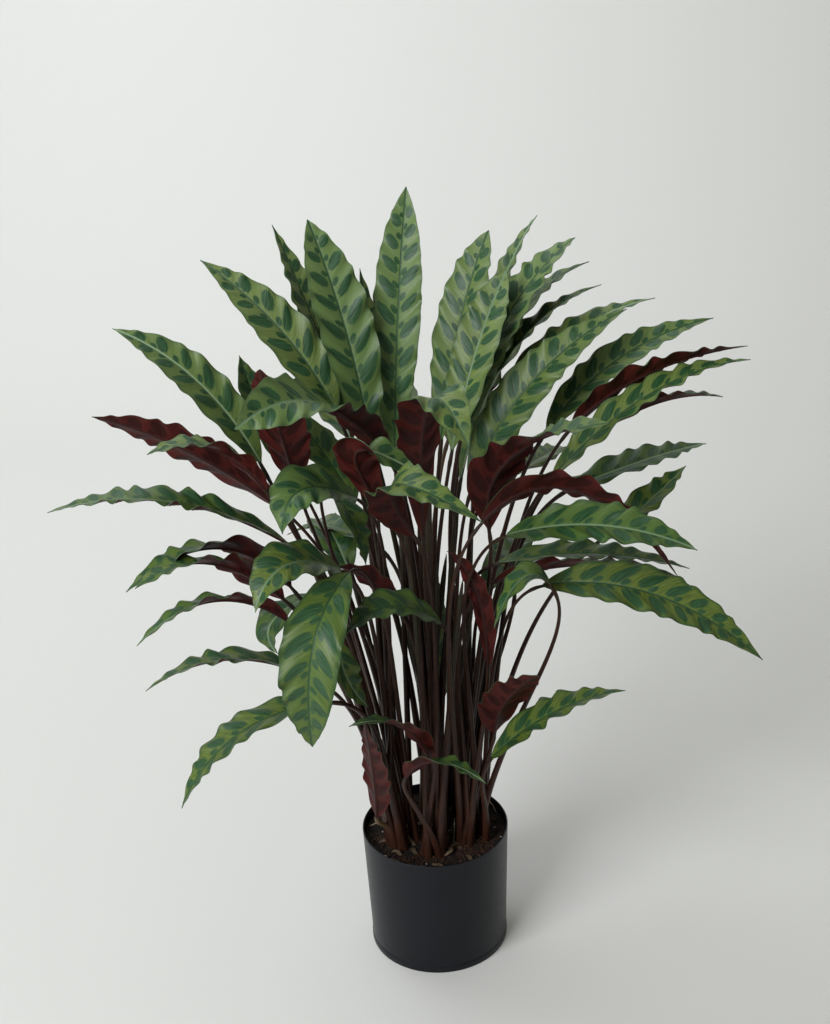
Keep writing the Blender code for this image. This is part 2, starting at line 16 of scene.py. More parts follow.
import bmesh
import bpy
import numpy as np
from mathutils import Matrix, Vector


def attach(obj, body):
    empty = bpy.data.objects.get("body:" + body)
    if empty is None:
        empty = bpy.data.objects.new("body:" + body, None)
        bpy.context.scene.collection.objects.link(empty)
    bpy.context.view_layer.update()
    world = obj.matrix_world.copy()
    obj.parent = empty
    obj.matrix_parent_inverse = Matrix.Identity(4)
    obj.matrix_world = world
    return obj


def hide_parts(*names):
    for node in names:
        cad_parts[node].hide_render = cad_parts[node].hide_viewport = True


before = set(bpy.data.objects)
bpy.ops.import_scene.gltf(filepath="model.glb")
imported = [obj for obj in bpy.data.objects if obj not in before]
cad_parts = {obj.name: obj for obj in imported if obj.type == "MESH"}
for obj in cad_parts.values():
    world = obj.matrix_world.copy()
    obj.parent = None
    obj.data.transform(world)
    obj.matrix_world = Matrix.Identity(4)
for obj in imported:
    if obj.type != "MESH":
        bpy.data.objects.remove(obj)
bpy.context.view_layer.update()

# %% [markdown]
# ## Helpers that every step needs
#
# Blender's shaders work in linear light, but a colour given here is an sRGB hex value, so one
# function turns the one into the other. A shader graph is easier to read when one short function
# makes a node, sets it up and wires it, because each line is then one node with its inputs.

# %% Colours, nodes and meshes
MM = 0.001
SEED = 11


def linear(hex_colour):
    """An sRGB hex value as linear light with full alpha."""
    parts = [int(hex_colour[i:i + 2], 16) / 255 for i in (1, 3, 5)]
    return (*(c / 12.92 if c <= 0.04045 else ((c + 0.055) / 1.055) ** 2.4 for c in parts), 1.0)


def node(tree, kind, inputs=None, **settings):
    """Adds a shader node: inputs are values or other nodes' sockets. Returns its outputs."""
    made = tree.nodes.new("ShaderNode" + kind)
    for name, value in settings.items():
        setattr(made, name, value)
    for place, value in (inputs or {}).items():
        if isinstance(value, bpy.types.NodeSocket):
            tree.links.new(value, made.inputs[place])
        else:
            made.inputs[place].default_value = value
    return made.outputs


def new_material(name, **constants):
    """A Principled material with its constant sockets set. Returns it, its tree and its shader."""
    made = bpy.data.materials.new(name)
    made.use_nodes = True
    shader = made.node_tree.nodes["Principled BSDF"]
    for socket, value in constants.items():
        shader.inputs[socket.replace("_", " ")].default_value = value
    return made, made.node_tree, shader


def unit(vectors):
    """Each vector divided by its own length."""
    return vectors / np.linalg.norm(vectors, axis=-1, keepdims=True)


def grid_faces(rows, columns, first=0):
    """Quads of a grid whose points are numbered row by row from the given first number."""
    corner = first + np.arange(rows - 1)[:, None] * columns + np.arange(columns - 1)[None, :]
    return np.stack([corner, corner + 1, corner + columns + 1, corner + columns], -1).reshape(-1, 4)


def ring_faces(rows, columns, first=0):
    """Quads of a grid whose last column meets its first one again, as on a tube."""
    column = np.arange(columns)
    corner = first + np.arange(rows - 1)[:, None] * columns
    low, low_next = corner + column, corner + (column + 1) % columns
    return np.stack([low, low_next, low_next + columns, low + columns], -1).reshape(-1, 4)


def new_piece(name, points, faces, materials, slots=None, attributes=None, sharp=50):
    """A mesh object in metres from points in millimetres, with its attributes and materials."""
    mesh = bpy.data.meshes.new(name)
    mesh.from_pydata((points * MM).tolist(), [], faces)
    for material in materials:
        mesh.materials.append(material)
    if slots is not None:
        mesh.polygons.foreach_set("material_index", np.asarray(slots, np.int32))
    for label, values in (attributes or {}).items():
        layer = mesh.attributes.new(label, "FLOAT_VECTOR", "POINT")
        layer.data.foreach_set("vector", values.astype(np.float32).ravel())
    mesh.shade_smooth()
    mesh.set_sharp_from_angle(angle=math.radians(sharp))
    mesh.update()
    made = bpy.data.objects.new(name, mesh)
    bpy.context.scene.collection.objects.link(made)
    return made


def stand_for(piece, slot, *nodes):
    """The piece moves with the plant's one body and hides the solids. The slot is not used."""
    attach(piece, "root")
    if nodes:
        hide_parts(*nodes)


# %% [markdown]
# ## Where each leaf is
#
# A leaf's midrib is a curve through three places: the collar, where the stalk ends, the middle
# and the tip. The solids were built from the same list. A roll about the midrib says how far the
# blade turns its face to one side, at the collar and at the tip. Rows with one name are two
# blades that lie across each other and count as one piece.

# %% The list of leaves
# An outline is s**a * (1 - s)**b, with s from the collar to the tip.
SLENDER = (0.7, 0.95)
BROAD = (0.75, 0.65)

# Node, collar, middle of the midrib, tip, width, outline, roll at the collar and at the tip.
LEAVES = (
    # Leaves that stand up in the middle and open towards the top.
    ("leaf_top_1", (-25, 45, 605), (-15, 75, 740), (0, 120, 870), 54, BROAD, 5, 5),
    ("leaf_top_2", (-50, 20, 620), (-70, 50, 735), (-105, 95, 845), 62, BROAD, -15, -15),
    ("leaf_top_3", (-75, 100, 615), (-105, 130, 715), (-150, 180, 825), 52, SLENDER, 5, 5),
    ("leaf_top_4", (-30, 110, 580), (-45, 135, 675), (-55, 165, 775), 48, SLENDER, 25, 25),
    ("leaf_top_5", (-85, 30, 655), (-140, 55, 740), (-220, 85, 810), 56, SLENDER, -35, -35),
    ("leaf_top_6", (45, 30, 615), (100, 55, 740), (175, 85, 815), 50, BROAD, 35, 0),
    ("leaf_top_7", (35, 0, 615), (65, 25, 715), (100, 55, 790), 50, BROAD, 20, 20),
    ("leaf_top_7", (25, 35, 615), (50, 60, 735), (85, 95, 825), 52, BROAD, 20, 10),
    ("leaf_top_8", (60, 125, 630), (100, 160, 745), (145, 190, 820), 44, SLENDER, 0, -25),
    ("leaf_top_9", (45, 60, 560), (105, 80, 695), (205, 100, 760), 46, SLENDER, 5, -5),
    ("leaf_top_9", (70, 90, 615), (115, 105, 725), (195, 125, 780), 46, SLENDER, 10, -5),
    # Leaves that arch out to the left, from the highest down.
    ("leaf_left_1", (-140, 60, 580), (-170, 80, 640), (-190, 100, 700), 46, SLENDER, 0, -20),
    ("leaf_left_2", (-165, -10, 615), (-225, 0, 705), (-305, 10, 760), 50, SLENDER, -35, -35),
    ("leaf_left_3", (-130, 0, 585), (-140, -35, 660), (-150, -75, 735), 60, BROAD, 10, -25),
    ("leaf_left_4", (-70, 0, 560), (-100, 10, 615), (-140, 20, 665), 48, SLENDER, -25, -25),
    ("leaf_left_5", (-155, -75, 610), (-205, -85, 660), (-265, -95, 660), 50, SLENDER, 45, -15),
    ("leaf_left_6", (-145, -30, 570), (-235, -35, 640), (-325, -45, 685), 55, SLENDER, 50, 60),
    ("leaf_left_7", (-140, -60, 545), (-255, -70, 600), (-380, -60, 590), 55, SLENDER, 10, 0),
    ("leaf_left_8", (-140, -60, 495), (-210, -90, 555), (-300, -110, 520), 52, SLENDER, 75, -25),
    ("leaf_left_8", (-145, -90, 495), (-215, -115, 550), (-285, -135, 535), 50, SLENDER, 70, -25),
    ("leaf_left_9", (-140, -110, 480), (-210, -140, 520), (-285, -160, 485), 42, SLENDER, 45, -5),
    ("leaf_left_10", (-120, -20, 465), (-165, -45, 445), (-160, -50, 410), 40, SLENDER, 5, -20),
    ("leaf_left_11", (-120, -120, 420), (-200, -150, 460), (-280, -170, 440), 44, SLENDER, 5, 15),
    ("leaf_left_12", (-105, -130, 395), (-195, -170, 385), (-255, -190, 315), 46, SLENDER, 0, -5),
    # Leaves that hang or curl towards the viewer.
    ("leaf_front_1", (-30, 0, 605), (-95, -95, 705), (-170, -150, 700), 62, BROAD, 50, -75),
    ("leaf_front_2", (-65, -60, 590), (-115, -120, 625), (-135, -145, 590), 56, SLENDER, -40, -10),
    ("leaf_front_3", (-90, -20, 580), (-70, -45, 555), (-60, -50, 510), 38, SLENDER, -15, -15),
    ("leaf_front_4", (-85, -80, 520), (-135, -140, 555), (-165, -170, 520), 56, SLENDER, -35, -5),
    ("leaf_front_5", (-30, -40, 455), (-60, -50, 495), (-90, -60, 515), 36, SLENDER, 40, 45),
    ("leaf_front_6", (-75, -110, 530), (-110, -185, 490), (-120, -175, 370), 63, BROAD, -15, -25),
    ("leaf_front_7", (-90, -95, 445), (-85, -115, 415), (-65, -110, 375), 42, SLENDER, 10, -15),
    ("leaf_front_8", (15, -70, 450), (-35, -120, 495), (-80, -145, 480), 48, SLENDER, -35, 5),
    ("leaf_front_9", (0, -60, 545), (10, -135, 710), (45, -185, 685), 56, BROAD, 5, 5),
    ("leaf_front_10", (-30, -70, 565), (-60, -120, 660), (0, -120, 635), 48, BROAD, -50, -15),
    ("leaf_front_10", (-10, -80, 555), (-25, -155, 640), (55, -210, 620), 54, SLENDER, 40, 0),
    ("leaf_front_11", (70, -40, 540), (90, -85, 635), (185, -110, 675), 64, BROAD, -75, 20),
    ("leaf_front_12", (65, -45, 380), (55, -45, 470), (25, -45, 520), 28, SLENDER, 50, 60),
    ("leaf_front_13", (130, -75, 490), (100, -80, 500), (70, -80, 445), 40, SLENDER, -5, -10),
    # Leaves that arch out to the right, from the highest down.
    ("leaf_right_1", (55, 5, 570), (120, 25, 675), (225, 50, 745), 54, SLENDER, 45, 30),
    ("leaf_right_2", (80, 60, 605), (155, 80, 700), (265, 110, 740), 46, SLENDER, 35, 0),
    ("leaf_right_3", (140, 50, 615), (220, 70, 685), (325, 90, 720), 46, SLENDER, 30, 20),
    ("leaf_right_4", (140, 0, 580), (240, -10, 670), (340, -20, 705), 52, SLENDER, 25, -5),
    ("leaf_right_4", (165, 30, 625), (240, 10, 685), (340, -5, 715), 46, SLENDER, -45, -25),
    ("leaf_right_5", (190, 20, 620), (260, 25, 650), (325, 30, 650), 44, SLENDER, -55, 0),
    ("leaf_right_6", (165, 40, 550), (245, 60, 570), (320, 80, 580), 46, SLENDER, 10, 5),
    ("leaf_right_7", (85, -80, 550), (175, -125, 575), (265, -150, 555), 56, SLENDER, 20, 25),
    ("leaf_right_8", (60, -90, 570), (155, -80, 595), (265, -60, 485), 50, SLENDER, -60, -20),
    ("leaf_right_9", (200, 20, 500), (250, 30, 535), (290, 40, 570), 46, SLENDER, 15, 5),
    ("leaf_right_10", (80, -25, 495), (180, -25, 500), (285, -20, 475), 46, SLENDER, 0, 0),
    ("leaf_right_10", (75, -20, 470), (170, -20, 485), (275, -20, 465), 46, SLENDER, -60, 10),
    ("leaf_right_11", (125, -45, 475), (235, -90, 480), (340, -130, 420), 58, SLENDER, 25, 30),
    # Short leaves near the pot.
    ("leaf_low_1", (0, -80, 290), (-35, -115, 355), (-85, -130, 365), 36, SLENDER, 35, 0),
    ("leaf_low_2", (-30, -90, 275), (5, -110, 305), (55, -125, 285), 36, SLENDER, -55, 5),
    ("leaf_low_3", (-65, -60, 205), (-65, -85, 280), (-70, -115, 360), 38, SLENDER, -30, -40),
    ("leaf_low_4", (70, -40, 295), (80, -80, 355), (110, -130, 415), 52, BROAD, -10, -20),
    ("leaf_low_5", (65, -60, 275), (130, -80, 340), (205, -100, 375), 50, SLENDER, 25, -5),
    ("leaf_low_6", (15, 85, 265), (10, 115, 345), (10, 155, 420), 42, SLENDER, 35, 35),
    # Leaves that face away from the viewer.
    ("leaf_back_1", (-75, 120, 590), (-105, 190, 615), (-140, 250, 615), 52, SLENDER, 0, 0),
    ("leaf_back_2", (-20, 120, 585), (-25, 190, 620), (-35, 260, 620), 54, SLENDER, 0, 0),
    ("leaf_back_3", (35, 120, 585), (55, 190, 610), (65, 250, 605), 52, SLENDER, 0, 0),
    ("leaf_back_4", (90, 110, 535), (145, 170, 540), (175, 215, 535), 50, SLENDER, 0, 0),
    ("leaf_back_5", (-85, 85, 440), (-110, 150, 470), (-130, 220, 450), 50, SLENDER, 0, 0),
    ("leaf_back_5", (-50, 110, 460), (-105, 155, 470), (-165, 205, 440), 48, SLENDER, 0, 0),
    ("leaf_back_6", (70, 95, 400), (110, 150, 435), (140, 215, 420), 48, SLENDER, 0, 0),
    ("leaf_back_6", (105, 80, 410), (105, 150, 432), (85, 225, 400), 46, SLENDER, 0, 0),
)
LEAF_NAMES = list(dict.fromkeys(row[0] for row in LEAVES))
print("leaves:", len(LEAVES), "in", len(LEAF_NAMES), "pieces")

# %% [markdown]
# ## The midrib and the frame that travels along it
#
# One quadratic curve passes through the three places when its control point is twice the middle
# less half of the two ends. At every station the blade needs two more directions: its side, which
# is level before the roll, and its face, which looks up when the leaf lies level. Because the side
# starts from the level heading, the frame never spins about the rib by accident.

# %% Midrib and frame
def midrib_points(collar, middle, tip, s):
    """Points at shares s of the curve, (1-s)^2 A + 2s(1-s) C + s^2 B, and unit directions."""
    control = 2 * middle - (collar + tip) / 2
    t = s[:, None]
    points = (1 - t) ** 2 * collar + 2 * t * (1 - t) * control + t**2 * tip
    return points, unit((1 - t) * (control - collar) + t * (tip - control))


def blade_frame(collar, tip, direction, roll):
    """Side and face at each station: level side made square to the rib, both turned by roll."""
    heading = unit(np.array([tip[0] - collar[0], tip[1] - collar[1], 0.0]))
    level_side = np.cross(heading, (0.0, 0.0, 1.0))
    side = unit(level_side - (direction @ level_side)[:, None] * direction)
    face = np.cross(side, direction)
    c, n = np.cos(roll)[:, None], np.sin(roll)[:, None]
    return side * c - face * n, face * c + side * n


def places(row):
    """The three places of a row as arrays."""
    return tuple(np.array(place, float) for place in row[1:4])


# %% [markdown]
# ## The blade
#
# A calathea blade is a thin sheet that is stiff along its side veins. It grows faster at its edge
# than at its rib, so the edge is too long for the leaf and buckles into ruffles, and the ruffles
# run along the side veins, which leave the rib at about 45 degrees and bend towards the tip. So
# the one number that matters is the vein coordinate: the distance along the rib, less the sweep
# of the vein. Ruffles, pleats, ovals and streaks are all functions of it, and that is what makes
# them belong together. The sheet gets a real thickness, with a groove over the rib and a round
# rib underneath, and its two faces are closed by a narrow margin.

# %% The outline of a blade
COLLAR_HALF_WIDTH = 1.9
TIP_HALF_WIDTH = 0.25
TIP_REACH = 0.075
TIP_BLUNTNESS = 0.4


def half_width(s, width, outline):
    """Half the width: s^a (1-s)^b scaled to its peak, pinched to a point over the last reach."""
    a, b = outline
    peak = a / (a + b)
    half = width / 2 * s**a * (1 - s) ** b / (peak**a * (1 - peak) ** b)
    half = half * (1 - np.exp(-(1 - s) / TIP_REACH)) ** TIP_BLUNTNESS
    return np.maximum(half, COLLAR_HALF_WIDTH + (TIP_HALF_WIDTH - COLLAR_HALF_WIDTH) * s)


# %% The side veins
# The ovals stand 29 mm apart along the rib, and about a third of a step is left over at the tip.
OVAL_PITCH = 29.0
STEP_LEFT_OVER = 0.35
TIP_CROWDING = 0.12
VEIN_SWEEP = 0.5
VEIN_BEND = 0.35


def vein_coordinate(along, length, x, half_peak):
    """Ovals counted along the rib, a little closer towards the tip, less the vein's sweep."""
    ovals = round(length / OVAL_PITCH) + STEP_LEFT_OVER
    t = along / length
    sweep = VEIN_SWEEP * np.abs(x) + VEIN_BEND * x**2 / half_peak
    return ovals * ((t + TIP_CROWDING * t**4) / (1 + TIP_CROWDING) - sweep / length)


# %% The ruffles of the edge
RUFFLES_PER_OVAL = 1.0
RUFFLE_SHARE = 0.12
RUFFLE_STRENGTH = (0.8, 1.15)
RUFFLE_POWER = 1.6
UNEVEN_SHARE = 0.35
UNEVEN_RATE = 0.31
BENT_SHARE = 0.9
BENT_RATE = 0.43


def ruffle(vein, u, half, draw):
    """Height of the edge's waves: a sine of a bent vein coordinate, uneven, grown as |u|^1.6."""
    start = draw.uniform(0, 2 * np.pi, 4)
    strength = draw.uniform(*RUFFLE_STRENGTH)
    phase = 2 * np.pi * RUFFLES_PER_OVAL * vein + np.where(u > 0, start[0], start[1])
    uneven = 1 + UNEVEN_SHARE * np.sin(UNEVEN_RATE * phase + start[2])
    wave = np.sin(phase + BENT_SHARE * np.sin(BENT_RATE * phase + start[3])) * uneven
    return RUFFLE_SHARE * strength * half[:, None] * wave * np.abs(u) ** RUFFLE_POWER


# %% The sheet of a blade, with its rib
STATIONS = 85
LANES = 25
LANE_CROWDING = 1.5
FOLD_DEGREES = 14
BOW = 0.35
SETTLED_FROM = 0.16
SHEET_THICKNESS = 0.5
GROOVE_DEPTH = 0.5
RIB_HEIGHT = 2.0
RIB_TIP_HEIGHT = 0.25
RIB_HALF_WIDTH = 1.6
RIB_TIP_SHARE = 0.35
RIB_TAPER = 1.2


def blade_shell(row, draw):
    """Spine + x cos(fold) side + lift face, where lift = half sin(fold) (|u| + bow (|u| - u^2))
    + ruffle. The upper face sinks by a groove and the lower one by the sheet and the rib, both
    as exp(-(x / rib)^2). Returns both faces as grids, and the shader's coordinates on them."""
    collar, middle, tip = places(row)
    width, outline = row[4:6]
    s = np.linspace(0, 1, STATIONS)
    lane = np.linspace(-1, 1, LANES)
    u = (np.sign(lane) * np.abs(lane) ** LANE_CROWDING)[None, :]
    roll = np.radians(row[6] + (row[7] - row[6]) * s)
    spine, direction = midrib_points(collar, middle, tip, s)
    side, face = blade_frame(collar, tip, direction, roll)
    steps = np.linalg.norm(np.diff(spine, axis=0), axis=1)
    along = np.concatenate([[0.0], np.cumsum(steps)])[:, None]
    half = half_width(s, width, outline)
    x = half[:, None] * u
    vein = vein_coordinate(along, along[-1, 0], x, width / 2)
    fold = math.radians(FOLD_DEGREES)
    settle = np.clip(s / SETTLED_FROM, 0, 1)[:, None] ** 2
    lift = half[:, None] * math.sin(fold) * (np.abs(u) + BOW * (np.abs(u) - u**2))
    lift = lift + ruffle(vein, u, half, draw) * settle
    out = (x * math.cos(fold))[..., None] * side[:, None]
    sheet = spine[:, None] + out + lift[..., None] * face[:, None]
    normal = unit(np.cross(np.gradient(sheet, axis=1), np.gradient(sheet, axis=0)))
    taper = (1 - s[:, None]) ** RIB_TAPER
    rib_width = RIB_HALF_WIDTH * (RIB_TIP_SHARE + (1 - RIB_TIP_SHARE) * taper)
    round_rib = np.exp(-((x / rib_width) ** 2))
    groove = GROOVE_DEPTH * taper * settle * round_rib
    rib = (RIB_HEIGHT * taper + RIB_TIP_HEIGHT) * round_rib
    upper = sheet - groove[..., None] * normal
    lower = sheet - (SHEET_THICKNESS + rib)[..., None] * normal
    place = np.stack(np.broadcast_arrays(u, vein, s[:, None]), -1)
    tone, seed = draw.uniform(0, 1, 2)
    width_here = np.stack(np.broadcast_arrays(half[:, None] + 0 * u, tone, seed), -1)
    return upper, lower, place, width_here


def shell_faces(first):
    """Upper quads, lower quads turned round, and the margin that joins the two outlines."""
    count = STATIONS * LANES
    upper = grid_faces(STATIONS, LANES, first)
    lower = grid_faces(STATIONS, LANES, first + count)[:, [0, 3, 2, 1]]
    number = np.arange(count).reshape(STATIONS, LANES)
    loop = np.concatenate([number[0, :-1], number[:-1, -1], number[-1, :0:-1], number[:0:-1, 0]]) + first
    after = np.roll(loop, -1)
    margin = np.stack([after, loop, loop + count, after + count], -1)
    return upper, lower, margin


rib_lengths = [
    np.linalg.norm(np.diff(midrib_points(*places(row), np.linspace(0, 1, STATIONS))[0], axis=0), axis=1).sum()
    for row in LEAVES
]
print("blades of", round(min(rib_lengths)), "to", round(max(rib_lengths)), "mm along the rib")


# %% [markdown]
# ## The leaf's colours
#
# The upper face is a satin living leaf: light yellow-green with one dark oval on each side vein,
# starting as a point at the rib and rounding off before the margin, and a small spot near the rib
# on the oval's tip side. The left row is half a step behind the right one. The ovals could be
# painted on an image, but a formula stays sharp at any size: the fraction of the vein coordinate
# says how far a point is from the nearest oval's axis, and the share across says where on the
# axis it is, so an oval is an ellipse in those two numbers, jittered by a draw for each cell.
# Fine streaks follow the same veins, and the blades high on the plant are painted a paler bluish green, a
# painted light that stands in for the stronger light and sheen falling on them. The lower face is deep
# maroon, and the same ovals show through it as darker bands.

# %% The blade's own coordinates

def blade_coordinates(tree):
    """Sockets of the blade's attributes: across, vein, along, half width and two draws."""
    place = node(tree, "Attribute", attribute_name="blade_place")["Vector"]
    across, vein, along = node(tree, "SeparateXYZ", {0: place})
    extra = node(tree, "Attribute", attribute_name="blade_width")["Vector"]
    half, tone, seed = node(tree, "SeparateXYZ", {0: extra})
    return across, vein, along, half, tone, seed


# %% A row of ovals
# An oval's edge is soft between these two values of a^2 + c^2. Its place along the rib, its girth,
# its middle and its length are each drawn between two values for each cell.
OVAL_OUTSIDE = 1.22
OVAL_INSIDE = 0.80
OVAL_AXIS = (0.44, 0.56)
OVAL_GIRTH = (0.80, 1.20)
OVAL_MIDDLE = (0.92, 1.08)
OVAL_LENGTH = (0.88, 1.08)


def ellipse_row(tree, phase, side, seed, centre, half_length, half_step, share, wobble):
    """One row of ellipses a^2 + c^2 < 1, 1 inside and 0 outside, drawn anew for each cell."""
    girths, middles, lengths = (
        [size * factor for factor in pair]
        for size, pair in ((half_step, OVAL_GIRTH), (centre, OVAL_MIDDLE), (half_length, OVAL_LENGTH))
    )
    cell = node(tree, "Math", {0: phase}, operation="FLOOR")[0]
    key = node(tree, "CombineXYZ", {0: cell, 1: side, 2: seed})[0]
    drawn = node(tree, "TexWhiteNoise", {0: key}, noise_dimensions="3D")
    r, g, b = node(tree, "SeparateColor", {0: drawn["Color"]})
    step = node(tree, "Math", {0: phase}, operation="FRACT")[0]
    shift = node(tree, "MapRange", {0: r, 3: OVAL_AXIS[0], 4: OVAL_AXIS[1]})[0]
    from_axis = node(tree, "Math", {0: step, 1: shift}, operation="SUBTRACT")[0]
    girth = node(tree, "MapRange", {0: g, 3: girths[0], 4: girths[1]})[0]
    a = node(tree, "Math", {0: from_axis, 1: girth}, operation="DIVIDE")[0]
    middle = node(tree, "MapRange", {0: b, 3: middles[0], 4: middles[1]})[0]
    reach = node(tree, "Math", {0: share, 1: middle}, operation="SUBTRACT")[0]
    span = node(tree, "MapRange", {0: r, 3: lengths[0], 4: lengths[1]})[0]
    c = node(tree, "Math", {0: reach, 1: span}, operation="DIVIDE")[0]
    a_squared = node(tree, "Math", {0: a, 1: 2.0}, operation="POWER")[0]
    total = node(tree, "Math", {0: c, 1: c, 2: a_squared}, operation="MULTIPLY_ADD")[0]
    edge = node(tree, "Math", {0: total, 1: wobble}, operation="ADD")[0]
    return node(
        tree, "MapRange", {0: edge, 1: OVAL_OUTSIDE, 2: OVAL_INSIDE}, interpolation_type="SMOOTHSTEP"
    )[0]


# %% Ovals and the spots between them
# Lengths are shares of the half width, and half steps are shares of the distance between ovals.
OVAL_CENTRE = 0.48
OVAL_HALF_LENGTH = 0.39
OVAL_HALF_STEP = 0.27
SPOT_CENTRE = 0.17
SPOT_HALF_LENGTH = 0.14
SPOT_HALF_STEP = 0.135
SPOT_OFFSET = 0.62
OTHER_SIDE_OFFSET = 0.5
WOBBLE_SCALE = 7.0
WOBBLE_MOST = 0.35
OVALS_BEGIN = (0.03, 0.10)
OVALS_END = (0.91, 0.97)


def oval_mask(tree, across, vein, along, seed):
    """The ovals and the small spots between them, fading at the collar and at the tip."""
    share = node(tree, "Math", {0: across}, operation="ABSOLUTE")[0]
    side = node(tree, "Math", {0: across, 1: 0.0}, operation="GREATER_THAN")[0]
    phase = node(tree, "Math", {0: side, 1: OTHER_SIDE_OFFSET, 2: vein}, operation="MULTIPLY_ADD")[0]
    later = node(tree, "Math", {0: phase, 1: SPOT_OFFSET}, operation="ADD")[0]
    spot_place = node(tree, "CombineXYZ", {0: share, 1: vein, 2: side})[0]
    uneven = node(tree, "TexNoise", {"Vector": spot_place, "Scale": WOBBLE_SCALE, "Detail": 2.0})[0]
    wobble = node(tree, "MapRange", {0: uneven, 3: -WOBBLE_MOST, 4: WOBBLE_MOST})[0]
    row = (side, seed)
    large = ellipse_row(tree, phase, *row, OVAL_CENTRE, OVAL_HALF_LENGTH, OVAL_HALF_STEP, share, wobble)
    small = ellipse_row(tree, later, *row, SPOT_CENTRE, SPOT_HALF_LENGTH, SPOT_HALF_STEP, share, wobble)
    both = node(tree, "Math", {0: large, 1: small}, operation="MAXIMUM")[0]
    start = node(tree, "MapRange", {0: along, 1: OVALS_BEGIN[0], 2: OVALS_BEGIN[1], 3: 0.0, 4: 1.0})[0]
    stop = node(tree, "MapRange", {0: along, 1: OVALS_END[1], 2: OVALS_END[0], 3: 0.0, 4: 1.0})[0]
    ends = node(tree, "Math", {0: start, 1: stop}, operation="MULTIPLY")[0]
    return node(tree, "Math", {0: both, 1: ends}, operation="MULTIPLY")[0], share, side


# %% Streaks and pleats
# With ovals 29 mm apart, a streak is about 1.2 mm wide and a pleat about 4 mm.
STREAKS_PER_OVAL = 24.0
STREAK_BREAKS = 1.6
PLEATS_PER_OVAL = 7.0
PLEAT_SHARE = 1.4


def vein_relief(tree, vein, share, side):
    """Fine streaks along the veins, and a height that adds the coarser pleats to them."""
    fine = node(tree, "Math", {0: vein, 1: STREAKS_PER_OVAL}, operation="MULTIPLY")[0]
    drawn_out = node(tree, "Math", {0: share, 1: STREAK_BREAKS}, operation="MULTIPLY")[0]
    place = node(tree, "CombineXYZ", {0: fine, 1: drawn_out, 2: side})[0]
    streak = node(tree, "TexNoise", {"Vector": place, "Scale": 1.0, "Detail": 3.0, "Roughness": 0.6})[0]
    coarse = node(tree, "Math", {0: vein, 1: PLEATS_PER_OVAL}, operation="MULTIPLY")[0]
    pleat_place = node(tree, "CombineXYZ", {0: coarse, 1: share, 2: side})[0]
    pleat = node(tree, "TexNoise", {"Vector": pleat_place, "Scale": 1.0, "Detail": 1.0})[0]
    height = node(tree, "Math", {0: pleat, 1: PLEAT_SHARE, 2: streak}, operation="MULTIPLY_ADD")[0]
    return streak, height


# %% The upper face
# Satin: the wax on a living leaf spreads the light to a broad soft sheen, so the coat is slight.
# Widths at the rib are in millimetres. The painted top light, a pale bluish green for the light that falls
# more on the high blades, starts and is full at heights in metres.
LEAF_LIGHT = "#6B7B34"
LEAF_OLIVE = "#435622"
LEAF_COOL = "#3B5C29"
OVAL_DARK = "#1B3A1F"
OVAL_LIGHT = "#365B38"
MARGIN_GREEN = "#2D4A26"
RIB_GREEN = "#2B4C2C"
# The next colour is a painted sheen along the midrib, given to some blades instead of the green rib.
RIB_PAINTED_SHEEN = "#86A07C"
# Painted light: the next colour and heights make blades paler and bluer the higher they stand, for the light
# and sheen they catch.
PAINTED_TOP_LIGHT = "#8A9E68"
TOP_LIGHT_FROM = 0.55
TOP_LIGHT_FULL = 0.80
TOP_LIGHT_MOST = 0.30
COOL_MOST = 0.7
UPPER_STREAKS = (0.36, 0.66)
MARGIN_FROM = 0.80
MARGIN_MOST = 0.85
UPPER_RIB = (0.7, 1.5)
SHEEN_RIB_DRAWS = (0.55, 0.8)

leaf_upper, tree, shader = new_material(
    "living_leaf_satin_upper", Roughness=0.4, Specular_IOR_Level=0.32, Coat_Weight=0.06, Coat_Roughness=0.3
)
across, vein, along, half, tone, seed = blade_coordinates(tree)
mask, share, side = oval_mask(tree, across, vein, along, seed)
streak, height = vein_relief(tree, vein, share, side)
streak_share = node(tree, "MapRange", {0: streak, 1: UPPER_STREAKS[0], 2: UPPER_STREAKS[1]})[0]
warm = node(tree, "Mix", {0: streak_share, 6: linear(LEAF_OLIVE), 7: linear(LEAF_LIGHT)}, data_type="RGBA")[2]
own_green = node(tree, "MapRange", {0: tone, 3: 0.0, 4: COOL_MOST})[0]
ground = node(tree, "Mix", {0: own_green, 6: warm, 7: linear(LEAF_COOL)}, data_type="RGBA")[2]
edge_share = node(
    tree, "MapRange", {0: share, 1: MARGIN_FROM, 2: 1.0, 4: MARGIN_MOST}, interpolation_type="SMOOTHSTEP"
)[0]
edged = node(tree, "Mix", {0: edge_share, 6: ground, 7: linear(MARGIN_GREEN)}, data_type="RGBA")[2]
height_here = node(tree, "SeparateXYZ", {0: node(tree, "TexCoord")["Object"]})[2]
# Painted light: the colour is mixed towards pale bluish green with the height of the blade.
painted_top_light = node(tree, "MapRange", {0: height_here, 1: TOP_LIGHT_FROM, 2: TOP_LIGHT_FULL, 3: 0.0, 4: TOP_LIGHT_MOST})[0]
top_lit = node(tree, "Mix", {0: painted_top_light, 6: edged, 7: linear(PAINTED_TOP_LIGHT)}, data_type="RGBA")[2]
oval = node(tree, "Mix", {0: streak_share, 6: linear(OVAL_DARK), 7: linear(OVAL_LIGHT)}, data_type="RGBA")[2]
patterned = node(tree, "Mix", {0: mask, 6: top_lit, 7: oval}, data_type="RGBA")[2]
from_rib = node(tree, "Math", {0: share, 1: half}, operation="MULTIPLY")[0]
rib_share = node(
    tree, "MapRange", {0: from_rib, 1: UPPER_RIB[1], 2: UPPER_RIB[0]}, interpolation_type="SMOOTHSTEP"
)[0]
